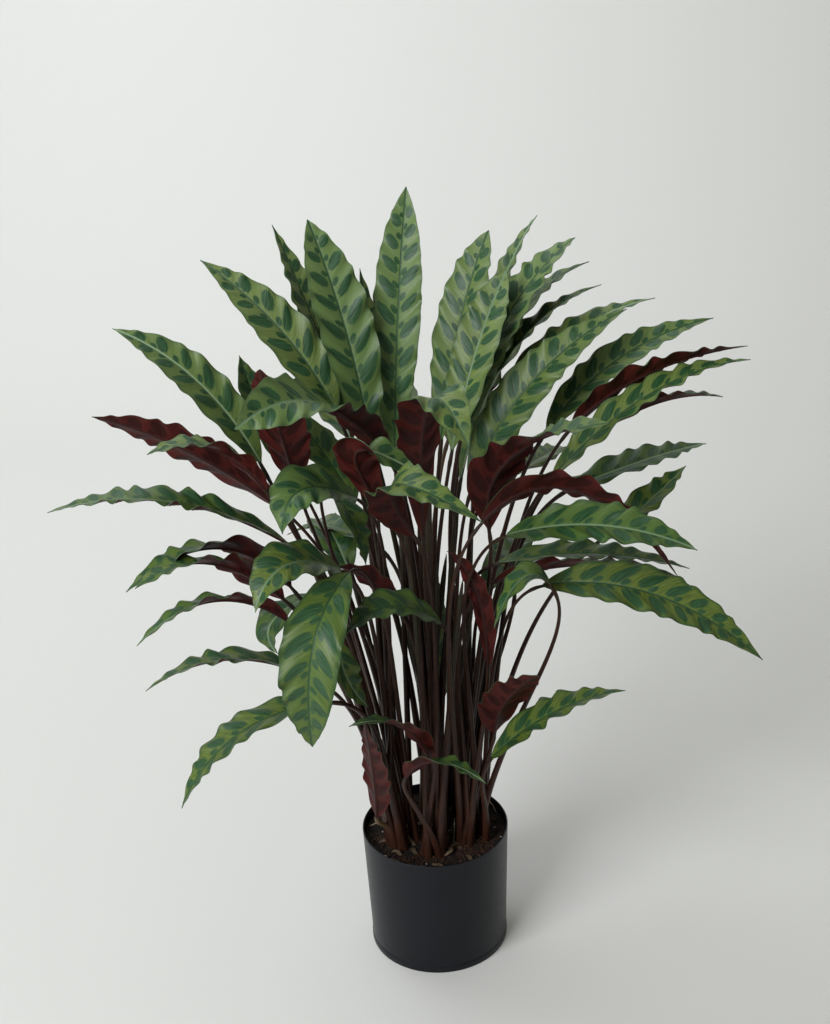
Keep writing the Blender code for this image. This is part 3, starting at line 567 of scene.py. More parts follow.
# Painted sheen: blades whose draw lies in this range get a pale painted highlight on the rib.
rib_sheen = node(tree, "MapRange", {0: seed, 1: SHEEN_RIB_DRAWS[0], 2: SHEEN_RIB_DRAWS[1]})[0]
rib_colour = node(tree, "Mix", {0: rib_sheen, 6: linear(RIB_GREEN), 7: linear(RIB_PAINTED_SHEEN)}, data_type="RGBA")[2]
coloured = node(tree, "Mix", {0: rib_share, 6: patterned, 7: rib_colour}, data_type="RGBA")[2]
tree.links.new(coloured, shader.inputs["Base Color"])
bump = node(tree, "Bump", {"Height": height, "Distance": 0.0006, "Strength": 0.5})[0]
tree.links.new(bump, shader.inputs["Normal"])

# %% The lower face
# The underside has less wax, and its dark red pigment drinks the light, so it is duller.
MAROON = "#3C1310"
MAROON_DARK = "#1F0A08"
MAROON_LIGHT = "#4D1B17"
RIB_MAUVE = "#351D1B"
BAND_STRENGTH = 0.7
LOWER_STREAKS = (0.3, 0.7)
LOWER_RIB = (1.2, 2.2)

leaf_lower, tree, shader = new_material("living_leaf_satin_lower", Roughness=0.5, Specular_IOR_Level=0.14)
across, vein, along, half, tone, seed = blade_coordinates(tree)
mask, share, side = oval_mask(tree, across, vein, along, seed)
streak, height = vein_relief(tree, vein, share, side)
streak_share = node(tree, "MapRange", {0: streak, 1: LOWER_STREAKS[0], 2: LOWER_STREAKS[1]})[0]
ground = node(tree, "Mix", {0: streak_share, 6: linear(MAROON), 7: linear(MAROON_LIGHT)}, data_type="RGBA")[2]
faint = node(tree, "Math", {0: mask, 1: BAND_STRENGTH}, operation="MULTIPLY")[0]
banded = node(tree, "Mix", {0: faint, 6: ground, 7: linear(MAROON_DARK)}, data_type="RGBA")[2]
from_rib = node(tree, "Math", {0: share, 1: half}, operation="MULTIPLY")[0]
rib_share = node(
    tree, "MapRange", {0: from_rib, 1: LOWER_RIB[1], 2: LOWER_RIB[0]}, interpolation_type="SMOOTHSTEP"
)[0]
coloured = node(tree, "Mix", {0: rib_share, 6: banded, 7: linear(RIB_MAUVE)}, data_type="RGBA")[2]
tree.links.new(coloured, shader.inputs["Base Color"])
bump = node(tree, "Bump", {"Height": height, "Distance": 0.0005, "Strength": 0.6})[0]
tree.links.new(bump, shader.inputs["Normal"])

# %% The margin between the two faces
leaf_margin, tree, shader = new_material("leaf_margin", Roughness=0.5)
shader.inputs["Base Color"].default_value = linear("#33502C")
print("leaf materials:", leaf_upper.name, leaf_lower.name, leaf_margin.name)


# %% Every blade
def make_blades(name, rows):
    """One piece for one name: each row's two faces and margin, side by side in one mesh."""
    points, faces, slots, place, width = [], [], [], [], []
    for row in rows:
        draw = np.random.default_rng([SEED, LEAVES.index(row)])
        upper, lower, on_blade, width_here = blade_shell(row, draw)
        parts = shell_faces(sum(len(p) for p in points))
        points += [upper.reshape(-1, 3), lower.reshape(-1, 3)]
        faces += [part for part in parts]
        slots += [np.full(len(part), index) for index, part in enumerate(parts)]
        place += [on_blade.reshape(-1, 3)] * 2
        width += [width_here.reshape(-1, 3)] * 2
    piece = new_piece(
        name.replace("leaf", "blade"),
        np.concatenate(points),
        np.concatenate(faces).tolist(),
        (leaf_upper, leaf_lower, leaf_margin),
        np.concatenate(slots),
        {"blade_place": np.concatenate(place), "blade_width": np.concatenate(width)},
    )
    stand_for(piece, "leaf", name)
    return piece


blades = [make_blades(name, [row for row in LEAVES if row[0] == name]) for name in LEAF_NAMES]
print("blades:", len(blades), "faces:", sum(len(b.data.polygons) for b in blades))

# %% [markdown]
# ## The stalks
#
# Each blade stands on its own stalk, a smooth round petiole. It is stout and a little flattened
# where its sheath wraps it at the crown, slims towards the top, and ends in a pulvinus: a slightly
# swollen joint, two or three centimetres long, that turns the blade to the light. Among the stalks
# rise young leaves that are still rolled up like a spear. A curve object with a bevel would do for
# a plain tube, but with a surface of two parameters the girth, the flat sheath, the joint and the
# rolled leaf each follow one formula, for all of them in one array.

# %% The list of young leaves
# Place on the soil, and tip.
SPEARS = (
    ((-46, 16), (-123, 59, 488)),
    ((-45, 26), (-61, 81, 495)),
    ((-38, 30), (-84, 23, 489)),
    ((-36, -21), (-106, -35, 434)),
    ((-29, 17), (-16, 15, 617)),
    ((-10, 3), (26, 29, 483)),
    ((-7, 42), (9, 28, 615)),
    ((-7, 41), (-50, 97, 475)),
    ((-6, 52), (-1, 15, 576)),
    ((-5, 8), (-53, 41, 503)),
    ((-4, 1), (-18, -13, 564)),
    ((-3, 8), (-25, 39, 514)),
    ((-2, 51), (-45, 80, 583)),
    ((-1, 7), (10, -29, 607)),
    ((0, -43), (-15, -57, 519)),
    ((1, 45), (-15, 89, 520)),
    ((3, 53), (-30, 115, 470)),
    ((3, 35), (3, 57, 637)),
    ((4, 51), (12, 55, 448)),
    ((5, -6), (-23, 6, 431)),
    ((5, 48), (42, 52, 531)),
    ((6, 39), (-33, 50, 435)),
    ((6, -3), (14, -9, 500)),
    ((7, -2), (37, 9, 541)),
    ((8, -42), (40, -63, 495)),
    ((9, 6), (4, -2, 630)),
    ((10, -1), (53, -1, 439)),
    ((43, 28), (83, 38, 444)),
)

# %% Paths of the stalks
CROWN_RING_RADIUS = 45.0
STALK_FOOT_SPREAD = 19.0
GOLDEN_TURN = 2.39996
GOLDEN_STRIDE = 0.618
STALK_FOOT_HEIGHT = 131.0
STALK_SPREAD = 0.6
STALK_LEAST_RISE = 0.7
STALK_EXTRA_CLIMB = 0.4
STALK_FIRST_REACH = 0.45
STALK_LAST_REACH = 0.22
CROWN_PULL = 0.45
RIB_DEPTH = 1.2
SPEAR_LEAN = 1.5
SPEAR_FOOT_LEAN = 0.2
SPEAR_FIRST_REACH = 0.4
SPEAR_LAST_REACH = 0.3


def crown_places():
    """The middle crown and the ring of six round it, from which all the stalks grow."""
    angle = np.radians(30 + 60 * np.arange(6))
    return np.vstack([[0.0, 0.0], np.stack([np.cos(angle), np.sin(angle)], -1) * CROWN_RING_RADIUS])


def stalk_controls(row, order):
    """Four control points: from the nearest crown steeply up, and in line with the rib at last."""
    collar, middle, tip = places(row)
    _, direction = midrib_points(collar, middle, tip, np.zeros(1))
    _, face = blade_frame(collar, tip, direction, np.radians([float(row[6])]))
    end = collar + direction[0] - face[0] * RIB_DEPTH
    crowns = crown_places()
    crown = crowns[np.argmin(np.linalg.norm(crowns - collar[:2] * CROWN_PULL, axis=1))]
    turn, far = order * GOLDEN_TURN, STALK_FOOT_SPREAD * math.sqrt(order * GOLDEN_STRIDE % 1)
    foot = np.array([crown[0] + far * math.cos(turn), crown[1] + far * math.sin(turn), STALK_FOOT_HEIGHT])
    reach = np.linalg.norm(end - foot)
    out = (end - foot) / reach
    climb = max(out[2] + STALK_EXTRA_CLIMB, STALK_LEAST_RISE)
    rise = unit(np.array([STALK_SPREAD * out[0], STALK_SPREAD * out[1], climb]))
    first, last = foot + rise * reach * STALK_FIRST_REACH, end - direction[0] * reach * STALK_LAST_REACH
    return foot, first, last, end


def spear_controls(place, tip):
    """Four control points: almost upright from the crown, leaning a little more at the tip."""
    foot, tip = np.array([*place, STALK_FOOT_HEIGHT]), np.array(tip, float)
    reach = np.linalg.norm(tip - foot)
    out = (tip - foot) / reach
    rise = np.array([SPEAR_FOOT_LEAN * out[0], SPEAR_FOOT_LEAN * out[1], 1])
    lean = np.array([SPEAR_LEAN * out[0], SPEAR_LEAN * out[1], 1])
    return foot, foot + rise * reach * SPEAR_FIRST_REACH, tip - lean * reach * SPEAR_LAST_REACH, tip


# %% Girth of the stalks
STALK_FOOT_RADIUS = 4.5
STALK_TIP_RADIUS = 1.8
STALK_RINGS = 44
STALK_SIDES = 10
SHEATH_LENGTH = 90.0
SHEATH_WIDTH = 0.42
PULVINUS_LENGTH = 24.0
PULVINUS_SWELLING = 0.55
SWAY = 1.1
STOUTNESS = (0.85, 1.15)
SPEAR_SHARES = (0.0, 0.25, 0.5, 0.68, 0.76, 0.85, 0.93, 0.98, 1.0)
SPEAR_RADII = (4.2, 3.5, 2.9, 2.5, 2.8, 3.3, 2.6, 1.3, 0.3)


def stalk_paths(controls, draw):
    """Cubic curves through the control points, with a sway of a millimetre. Paths and distances."""
    foot, first, last, end = (controls[:, None, i] for i in range(4))
    t = np.linspace(0, 1, STALK_RINGS)[None, :, None]
    path = (1 - t) ** 3 * foot + 3 * t * (1 - t) ** 2 * first + 3 * t**2 * (1 - t) * last + t**3 * end
    sway = draw.normal(0, SWAY, (len(controls), 1, 2)) * np.sin(np.pi * t) * np.sin(2.3 * np.pi * t)
    path[..., :2] += sway
    distance = np.cumsum(np.linalg.norm(np.gradient(path, axis=1), axis=-1), axis=1)
    return path, distance


def tube_grid(path, distance, radius):
    """A circle of the local girth carried along each path, and widened sideways at the sheath."""
    heading = path[:, -1:] - path[:, :1]
    level = unit(np.stack([-heading[..., 1], heading[..., 0], 0 * heading[..., 0]], -1))
    tangent = unit(np.gradient(path, axis=1))
    side = unit(level - (tangent * level).sum(-1, keepdims=True) * tangent)
    up = np.cross(tangent, side)
    sheath = 1 + SHEATH_WIDTH * np.exp(-distance / SHEATH_LENGTH)
    angle = np.linspace(0, 2 * np.pi, STALK_SIDES, endpoint=False)[None, None]
    wide = ((radius * sheath)[..., None] * np.cos(angle))[..., None] * side[:, :, None]
    deep = (radius[..., None] * np.sin(angle))[..., None] * up[:, :, None]
    return path[:, :, None] + wide + deep


def stalk_girth(share, distance, stout):
    """Radius that slims from foot to tip, with a soft swelling over the last centimetres."""
    radius = (STALK_TIP_RADIUS + (STALK_FOOT_RADIUS - STALK_TIP_RADIUS) * (1 - share) ** 1.1) * stout
    joint = np.clip(1 - (distance[:, -1:] - distance) / PULVINUS_LENGTH, 0, 1)
    return radius + PULVINUS_SWELLING * np.sin(np.pi * np.clip(joint * 1.1, 0, 1)) ** 2


def tube_ends(count):
    """A single face for each end of each tube, the lower one turned to face down."""
    block = STALK_RINGS * STALK_SIDES
    start = np.arange(count)[:, None] * block
    lower = start + np.arange(STALK_SIDES)[::-1]
    upper = start + block - STALK_SIDES + np.arange(STALK_SIDES)
    return lower.tolist() + upper.tolist()


# %% [markdown]
# The skin of a stalk is smooth and brown with a purple cast, redder low down and a little olive
# at the joint, and a few older ones have dried to tan. Its cells run lengthwise, which gives fine
# streaks. They are noise that is stretched along the stalk: the shader reads the distance from
# the crown and the angle round the tube.

# %% The skin of the stalks
STALK_BROWN = "#3D2216"
STALK_PURPLE = "#1B110D"
STALK_RED = "#3F2318"
STALK_TAN = "#5E4B35"
JOINT_OLIVE = "#302A1C"
SPEAR_MAROON = "#331816"
SPEAR_GREEN = "#2A321D"
TAN_FROM = 0.93
# With a noise scale of 5, this stretch makes a streak about 17 mm long.
STREAK_STRETCH = 0.012
RED_HEIGHTS = (10.0, 150.0)
RED_MOST = 0.8
JOINT_FROM = 0.93
JOINT_MOST = 0.55
ROLLED_FROM = (0.5, 0.75)

stalk_skin, tree, shader = new_material("stalk_skin_smooth_brown", Roughness=0.42, Specular_IOR_Level=0.25)
place = node(tree, "Attribute", attribute_name="stalk_place")["Vector"]
distance, angle, share = node(tree, "SeparateXYZ", {0: place})
drawn = node(tree, "Attribute", attribute_name="stalk_draw")["Vector"]
tone, seed, kind = node(tree, "SeparateXYZ", {0: drawn})
lengthwise = node(tree, "Math", {0: distance, 1: STREAK_STRETCH}, operation="MULTIPLY")[0]
streak_place = node(tree, "CombineXYZ", {0: lengthwise, 1: angle, 2: seed})[0]
streak = node(tree, "TexNoise", {"Vector": streak_place, "Scale": 5.0, "Detail": 4.0, "Roughness": 0.65})[0]
streak_share = node(tree, "MapRange", {0: streak, 1: 0.3, 2: 0.7})[0]
purple, plain = linear(STALK_PURPLE), linear(STALK_BROWN)
brown = node(tree, "Mix", {0: streak_share, 6: purple, 7: plain}, data_type="RGBA")[2]
low = node(tree, "MapRange", {0: distance, 1: RED_HEIGHTS[1], 2: RED_HEIGHTS[0], 3: 0.0, 4: RED_MOST})[0]
redness = node(tree, "Math", {0: low, 1: tone}, operation="MULTIPLY")[0]
reddened = node(tree, "Mix", {0: redness, 6: brown, 7: linear(STALK_RED)}, data_type="RGBA")[2]
is_old = node(tree, "Math", {0: kind, 1: TAN_FROM}, operation="GREATER_THAN")[0]
aged = node(tree, "Mix", {0: is_old, 6: reddened, 7: linear(STALK_TAN)}, data_type="RGBA")[2]
high = node(tree, "MapRange", {0: share, 1: JOINT_FROM, 2: 1.0, 3: 0.0, 4: JOINT_MOST})[0]
jointed = node(tree, "Mix", {0: high, 6: aged, 7: linear(JOINT_OLIVE)}, data_type="RGBA")[2]
is_spear = node(tree, "Math", {0: kind, 1: 1.5}, operation="GREATER_THAN")[0]
maroon, green = linear(SPEAR_MAROON), linear(SPEAR_GREEN)
young = node(tree, "Mix", {0: streak_share, 6: maroon, 7: green}, data_type="RGBA")[2]
rolled = node(tree, "MapRange", {0: share, 1: ROLLED_FROM[0], 2: ROLLED_FROM[1]})[0]
risen = node(tree, "Mix", {0: rolled, 6: brown, 7: young}, data_type="RGBA")[2]
coloured = node(tree, "Mix", {0: is_spear, 6: jointed, 7: risen}, data_type="RGBA")[2]
tree.links.new(coloured, shader.inputs["Base Color"])
bump = node(tree, "Bump", {"Height": streak, "Distance": 0.0004, "Strength": 0.5})[0]
tree.links.new(bump, shader.inputs["Normal"])
print("stalk skin:", stalk_skin.name, "with", len(tree.nodes), "nodes")

# %% The bundle of stalks and young leaves
# Its attributes are the distance from the crown, the angle round the tube, the share of the way,
# and three draws for each tube. The third one is set to 2 for a young leaf.
draw = np.random.default_rng(SEED)
controls = [stalk_controls(row, order) for order, row in enumerate(LEAVES)]
controls += [spear_controls(*row) for row in SPEARS]
path, distance = stalk_paths(np.array(controls), draw)
tube_count, leaf_count = len(controls), len(LEAVES)
share = distance / distance[:, -1:]
stout = draw.uniform(*STOUTNESS, (tube_count, 1))
is_spear = np.arange(tube_count)[:, None] >= leaf_count
spear_girth = np.interp(share, SPEAR_SHARES, SPEAR_RADII) * stout
radius = np.where(is_spear, spear_girth, stalk_girth(share, distance, stout))
tubes = tube_grid(path, distance, radius)
around = np.abs(np.linspace(-1, 1, STALK_SIDES, endpoint=False))[None, None]
stalk_place = np.stack(np.broadcast_arrays(distance[..., None], around, share[..., None]), -1)
stalk_draw = draw.uniform(0, 1, (tube_count, 1, 1, 3)) * np.ones(tubes.shape)
stalk_draw[leaf_count:, ..., 2] = 2.0
quads = [ring_faces(STALK_RINGS, STALK_SIDES, i * STALK_RINGS * STALK_SIDES) for i in range(tube_count)]
stalks = new_piece(
    "stalk_bundle",
    tubes.reshape(-1, 3),
    np.concatenate(quads).tolist() + tube_ends(tube_count),
    [stalk_skin],
    attributes={"stalk_place": stalk_place.reshape(-1, 3), "stalk_draw": stalk_draw.reshape(-1, 3)},
)
stand_for(stalks, "stalk", "stalks")
print("stalks:", leaf_count, "young leaves:", len(SPEARS), "faces:", len(stalks.data.polygons))

# %% [markdown]
# ## The pot
#
# A nursery pot is injection moulded in black polypropylene: a thin tapered wall, a plain rim with
# its edge just broken, and a low foot ring where the wall steps out. It is a turned shape, so the
# outline is written once, from the floor's middle up the inside, over the rim and down the
# outside, and a grid of angle against outline makes the surface. Each corner of the outline is
# rounded by a short quadratic curve between two points near it.

# %% Shape of the pot
POT_HEIGHT = 152.0
POT_RIM_RADIUS = 85.0
POT_FOOT_RADIUS = 80.4
POT_WALL = 1.4
POT_FLOOR = 2.0
POT_FOOT_HEIGHT = 9.0
POT_FOOT_STEP = 0.7
POT_FOOT_SLOPE = 1.4
POT_SIDES = 160


def rounded_outline(corners, radii, steps=6):
    """Each corner P becomes (1-t)^2 A + 2t(1-t) P + t^2 B, with A and B one radius away."""
    corners = np.array(corners, float)
    before = unit(np.roll(corners, 1, axis=0) - corners)
    after = unit(np.roll(corners, -1, axis=0) - corners)
    radii = np.array(radii, float)[:, None]
    a, b = corners + before * radii, corners + after * radii
    t = np.linspace(0, 1, steps)[None, :, None]
    arcs = (1 - t) ** 2 * a[:, None] + 2 * t * (1 - t) * corners[:, None] + t**2 * b[:, None]
    return arcs.reshape(-1, 2)


def turned(outline, sides):
    """Radius and height turned round Z: points (r cos a, r sin a, z) on a grid of both."""
    angle = np.linspace(0, 2 * np.pi, sides, endpoint=False)[None, :]
    r, z = outline[:, :1], outline[:, 1:]
    return np.stack(np.broadcast_arrays(r * np.cos(angle), r * np.sin(angle), z), -1).reshape(-1, 3)


rim, foot = POT_RIM_RADIUS, POT_FOOT_RADIUS
pot_corners = [
    (foot - POT_WALL, POT_FLOOR),
    (rim - POT_WALL, POT_HEIGHT),
    (rim, POT_HEIGHT),
    (foot, POT_FOOT_HEIGHT),
    (foot + POT_FOOT_STEP, POT_FOOT_HEIGHT - POT_FOOT_SLOPE),
    (foot + POT_FOOT_STEP, 0.0),
]
pot_radii = [2.0, 0.5, 0.6, 0.8, 0.7, 1.6]
outline = rounded_outline(pot_corners, pot_radii)
rows = len(outline)
floor_face = [[*range(POT_SIDES)]]
base_face = [[*range((rows - 1) * POT_SIDES, rows * POT_SIDES)][::-1]]
pot_faces = ring_faces(rows, POT_SIDES)[:, ::-1].tolist()

# %% [markdown]
# Moulded polypropylene is a smooth satin plastic with an index of refraction of about 1.49. The
# mould's fine texture softens the reflection of a window to a broad pale band, and handling has
# left a little dust towards the foot and a few faint scuffs. The texture has a pitch of 0.6 mm.

# %% The pot and its plastic
POT_BLACK = "#060A12"
POT_DUST = "#181B20"
# A grain of 0.6 mm, clouds of dust of about 45 mm, and scuffs that run round the pot, about 1 mm
# high and 17 mm long. Dust lies most on the lowest 35 mm.
GRAINS_PER_METRE = 1600.0
CLOUDS_PER_METRE = 22.0
SCUFFS_PER_METRE = (60.0, 60.0, 900.0)
DUSTY_HEIGHT = 0.035
DUST_SHARE = (0.10, 0.45)
SCUFFED_ROUGHNESS = (0.32, 0.44)

pot_plastic, tree, shader = new_material(
    "moulded_black_polypropylene", Roughness=0.34, IOR=1.49, Specular_IOR_Level=0.3
)
where = node(tree, "TexCoord")["Object"]
grain = node(tree, "TexNoise", {"Vector": where, "Scale": GRAINS_PER_METRE, "Detail": 2.0})[0]
cloud_size = {"Scale": CLOUDS_PER_METRE, "Detail": 5.0, "Roughness": 0.65}
cloud = node(tree, "TexNoise", {"Vector": where, **cloud_size})[0]
stretched = node(tree, "Mapping", {"Vector": where, "Scale": SCUFFS_PER_METRE})[0]
scuff = node(tree, "TexNoise", {"Vector": stretched, "Scale": 1.0, "Detail": 2.0})[0]
height_here = node(tree, "SeparateXYZ", {0: where})[2]
low = node(
    tree, "MapRange", {0: height_here, 1: DUSTY_HEIGHT, 2: 0.0, 3: DUST_SHARE[0], 4: DUST_SHARE[1]}
)[0]
patchy = node(tree, "MapRange", {0: cloud, 1: 0.45, 2: 0.75})[0]
dusty = node(tree, "Math", {0: low, 1: patchy}, operation="MULTIPLY")[0]
coloured = node(tree, "Mix", {0: dusty, 6: linear(POT_BLACK), 7: linear(POT_DUST)}, data_type="RGBA")[2]
tree.links.new(coloured, shader.inputs["Base Color"])
smoother, rougher = SCUFFED_ROUGHNESS
rubbed = node(tree, "MapRange", {0: scuff, 1: 0.35, 2: 0.75, 3: smoother, 4: rougher})[0]
tree.links.new(rubbed, shader.inputs["Roughness"])
bump = node(tree, "Bump", {"Height": grain, "Distance": 0.0001, "Strength": 0.35})[0]
tree.links.new(bump, shader.inputs["Normal"])

pot_faces += floor_face + base_face
pot = new_piece("nursery_pot", turned(outline, POT_SIDES), pot_faces, [pot_plastic], sharp=40)
stand_for(pot, "pot", "pot")
print("pot:", rows, "rings of", POT_SIDES)

# %% [markdown]
# ## The soil
#
# Potting soil is peat: near black when damp, rust brown where its fibres catch the light, with
# chips of bark, a few white grains and dry scraps of old sheaths on top. The body of it is one
# height field. A disc cut from rings would crowd its points in the middle, so a square grid is
# laid over the disc instead: x sqrt(1 - y^2/2) and y sqrt(1 - x^2/2) send the square's edge to the
# circle and keep the cells nearly alike. Its relief is smooth noise of several sizes.

# %% Shape of the soil
SOIL_TOP = 139.5
SOIL_DOME = 2.0
SOIL_CELLS = 150
SOIL_GAP = 0.4
SOIL_SHARE_OF_TAPER = 0.9
MOUND_HEIGHT = 2.6
MOUND_RADIUS = 16
CALM_WIDTH = 0.12
CALM_LEAST = 0.25
# Size of the cells and of the relief, in millimetres: lumps, crumbs and grit.
SOIL_RELIEF = ((17.0, 1.2), (7.0, 0.9), (3.1, 0.65), (1.5, 0.4))


def smooth_noise(x, y, cell, seed):
    """Random heights at the corners of square cells, blended by 3t^2 - 2t^3 in between."""
    table = np.random.default_rng([SEED, seed]).uniform(-1, 1, (64, 64))
    i, j = np.floor(x / cell).astype(int), np.floor(y / cell).astype(int)
    u, v = x / cell - i, y / cell - j
    u, v = u * u * (3 - 2 * u), v * v * (3 - 2 * v)
    corner = [table[(i + a) % 64, (j + b) % 64] for a in (0, 1) for b in (0, 1)]
    return (corner[0] * (1 - v) + corner[1] * v) * (1 - u) + (corner[2] * (1 - v) + corner[3] * v) * u


def soil_height(x, y):
    """A low dome with mounds at the crowns, lumps, crumbs and grit, calmer at the wall."""
    edge = POT_RIM_RADIUS - POT_WALL
    reach = np.hypot(x, y) / edge
    height = SOIL_TOP + SOIL_DOME * (1 - reach**2)
    for crown_x, crown_y in crown_places():
        away = (x - crown_x) ** 2 + (y - crown_y) ** 2
        height = height + MOUND_HEIGHT * np.exp(-away / MOUND_RADIUS**2)
    calm = np.clip((1 - reach) / CALM_WIDTH, CALM_LEAST, 1)
    for layer, (cell, size) in enumerate(SOIL_RELIEF):
        height = height + size * calm * smooth_noise(x, y, cell, layer)
    return height


lane = np.linspace(-1, 1, SOIL_CELLS + 1)
a, b = np.meshgrid(lane, lane)
taper_here = (POT_RIM_RADIUS - POT_FOOT_RADIUS) * SOIL_SHARE_OF_TAPER
soil_radius = POT_FOOT_RADIUS + taper_here - POT_WALL - SOIL_GAP
x, y = a * np.sqrt(1 - b**2 / 2) * soil_radius, b * np.sqrt(1 - a**2 / 2) * soil_radius
top = np.stack([x, y, soil_height(x, y)], -1)
number = np.arange(top.shape[0] * top.shape[1]).reshape(top.shape[:2])
rim_loop = np.concatenate([number[0, :-1], number[:-1, -1], number[-1, :0:-1], number[:0:-1, 0]])
lower_ring = top.reshape(-1, 3)[rim_loop] * [0.95, 0.95, 0] + [0, 0, POT_FLOOR + SOIL_GAP]
soil_points = np.vstack([top.reshape(-1, 3), lower_ring])
wall_number = number.size + np.arange(len(rim_loop))
wall = np.stack([np.roll(rim_loop, -1), rim_loop, wall_number, np.roll(wall_number, -1)], -1)
soil_faces = grid_faces(*top.shape[:2]).tolist() + wall.tolist() + [wall_number[::-1].tolist()]

# %% Peat
# Damp peat is rough at every size, so it has no gloss. Its lumps are 8 mm across, the rusty
# patches 30 mm and the flecks of fibre in them 1.4 mm.
PEAT_BLACK = "#0C0907"
PEAT_BROWN = "#18100B"
PEAT_RUST = "#422716"
LUMPS_PER_METRE = 130.0
PATCHES_PER_METRE = 34.0
FLECKS_PER_METRE = 700.0

peat, tree, shader = new_material("damp_peat", Roughness=0.92, Specular_IOR_Level=0.3)
where = node(tree, "TexCoord")["Object"]
lump_size = {"Scale": LUMPS_PER_METRE, "Detail": 6.0, "Roughness": 0.7}
lump = node(tree, "TexNoise", {"Vector": where, **lump_size})[0]
dark = node(tree, "MapRange", {0: lump, 1: 0.35, 2: 0.65})[0]
brown = node(tree, "Mix", {0: dark, 6: linear(PEAT_BLACK), 7: linear(PEAT_BROWN)}, data_type="RGBA")[2]
patch = node(tree, "TexNoise", {"Vector": where, "Scale": PATCHES_PER_METRE, "Detail": 3.0})[0]
fleck = node(tree, "TexNoise", {"Vector": where, "Scale": FLECKS_PER_METRE, "Detail": 3.0})[0]
both = node(tree, "Math", {0: patch, 1: fleck}, operation="MULTIPLY")[0]
rusty = node(tree, "MapRange", {0: both, 1: 0.27, 2: 0.36, 3: 0.0, 4: 0.8})[0]
coloured = node(tree, "Mix", {0: rusty, 6: brown, 7: linear(PEAT_RUST)}, data_type="RGBA")[2]
tree.links.new(coloured, shader.inputs["Base Color"])
bump = node(tree, "Bump", {"Height": fleck, "Distance": 0.0012, "Strength": 0.9})[0]
tree.links.new(bump, shader.inputs["Normal"])

soil = new_piece("peat_bed", soil_points, soil_faces, [peat])
stand_for(soil, "soil", "soil")
print("soil: heights", top[..., 2].min().round(1), "to", top[..., 2].max().round(1), "mm")

# %% [markdown]
# ## What lies on the soil
#
# Crumbs, bark chips and white grains are one small lumpy stone shape each, thrown down hundreds of
# times with a random size, turn and place. All of them are computed at once: the unit shape's
# points are scaled, turned by random axes and moved, as one array, and become one mesh a kind.

# %% Crumbs, chips and grains
def lumpy_ball():
    """An icosahedron with each face split in four: 42 points, 80 triangles, on the unit ball."""
    shape = bmesh.new()
    bmesh.ops.create_icosphere(shape, subdivisions=2, radius=1.0)
    points = np.array([v.co for v in shape.verts])
    faces = np.array([[v.index for v in f.verts] for f in shape.faces])
    shape.free()
    return points, faces


def random_turns(draw, count):
    """Rotation matrices from random unit quaternions."""
    w, x, y, z = unit(draw.normal(0, 1, (count, 4))).T
    rows = [
        [1 - 2 * (y * y + z * z), 2 * (x * y - z * w), 2 * (x * z + y * w)],
        [2 * (x * y + z * w), 1 - 2 * (x * x + z * z), 2 * (y * z - x * w)],
        [2 * (x * z - y * w), 2 * (y * z + x * w), 1 - 2 * (x * x + y * y)],
    ]
    return np.array(rows).transpose(2, 0, 1)


def places_on_soil(draw, count, inside=0.97):
    """Random places spread evenly over the soil's disc, at its height."""
    radius = soil_radius * inside * np.sqrt(draw.uniform(0, 1, count))
    angle = draw.uniform(0, 2 * np.pi, count)
    x, y = radius * np.cos(angle), radius * np.sin(angle)
    return np.stack([x, y, soil_height(x, y)], -1)


DENT = 0.13
STRETCH = (0.6, 1.4)


def strewn(name, count, sizes, flatness, material, seed):
    """Copies of the lumpy ball: squashed, dented, turned and laid half sunk on the soil."""
    draw = np.random.default_rng([SEED, seed])
    ball, faces = lumpy_ball()
    dent = 1 + draw.normal(0, DENT, (count, len(ball), 1))
    size = draw.uniform(*sizes, (count, 1, 1)) * draw.uniform(*STRETCH, (count, 1, 3)) * [1.0, 1.0, flatness]
    shapes = (ball[None] * dent * size) @ random_turns(draw, count)
    points = shapes + places_on_soil(draw, count)[:, None]
    numbers = faces[None] + np.arange(count)[:, None, None] * len(ball)
    piece = new_piece(name, points.reshape(-1, 3), numbers.reshape(-1, 3).tolist(), [material], sharp=35)
    stand_for(piece, "soil")
    print(name + ":", count)


def plain_material(name, light, dark, scale, roughness):
    """A dull natural stuff: two colours mixed by noise of one size, with the same noise as bump."""
    made, tree, shader = new_material(name, Roughness=roughness, Specular_IOR_Level=0.35)
    where = node(tree, "TexCoord")["Object"]
    cloud = node(tree, "TexNoise", {"Vector": where, "Scale": scale, "Detail": 4.0, "Roughness": 0.6})[0]
    part = node(tree, "MapRange", {0: cloud, 1: 0.35, 2: 0.65})[0]
    mixed = node(tree, "Mix", {0: part, 6: linear(dark), 7: linear(light)}, data_type="RGBA")[2]
    tree.links.new(mixed, shader.inputs["Base Color"])
    bump = node(tree, "Bump", {"Height": cloud, "Distance": 0.0005, "Strength": 0.8})[0]
    tree.links.new(bump, shader.inputs["Normal"])
    return made


# %% What is strewn
# Crumbs are dull and nearly black, with a rough face of 2.5 mm lumps. A bark chip is flaky and red
# brown, with layers of about 4 mm. Perlite is a puffed white glass, soiled by the peat.
peat_crumb = plain_material("peat_crumb", "#2A1B12", "#0E0A07", 400.0, 0.95)
bark = plain_material("pine_bark_chip", "#4A3424", "#1F140E", 260.0, 0.85)
perlite = plain_material("perlite_grain", "#C9C4B8", "#8D8678", 500.0, 0.8)
strewn("peat_crumbs", 620, (0.7, 1.9), 0.8, peat_crumb, 21)
strewn("bark_chips", 46, (2.0, 4.2), 0.35, bark, 22)
strewn("perlite_grains", 16, (0.6, 1.2), 0.9, perlite, 23)

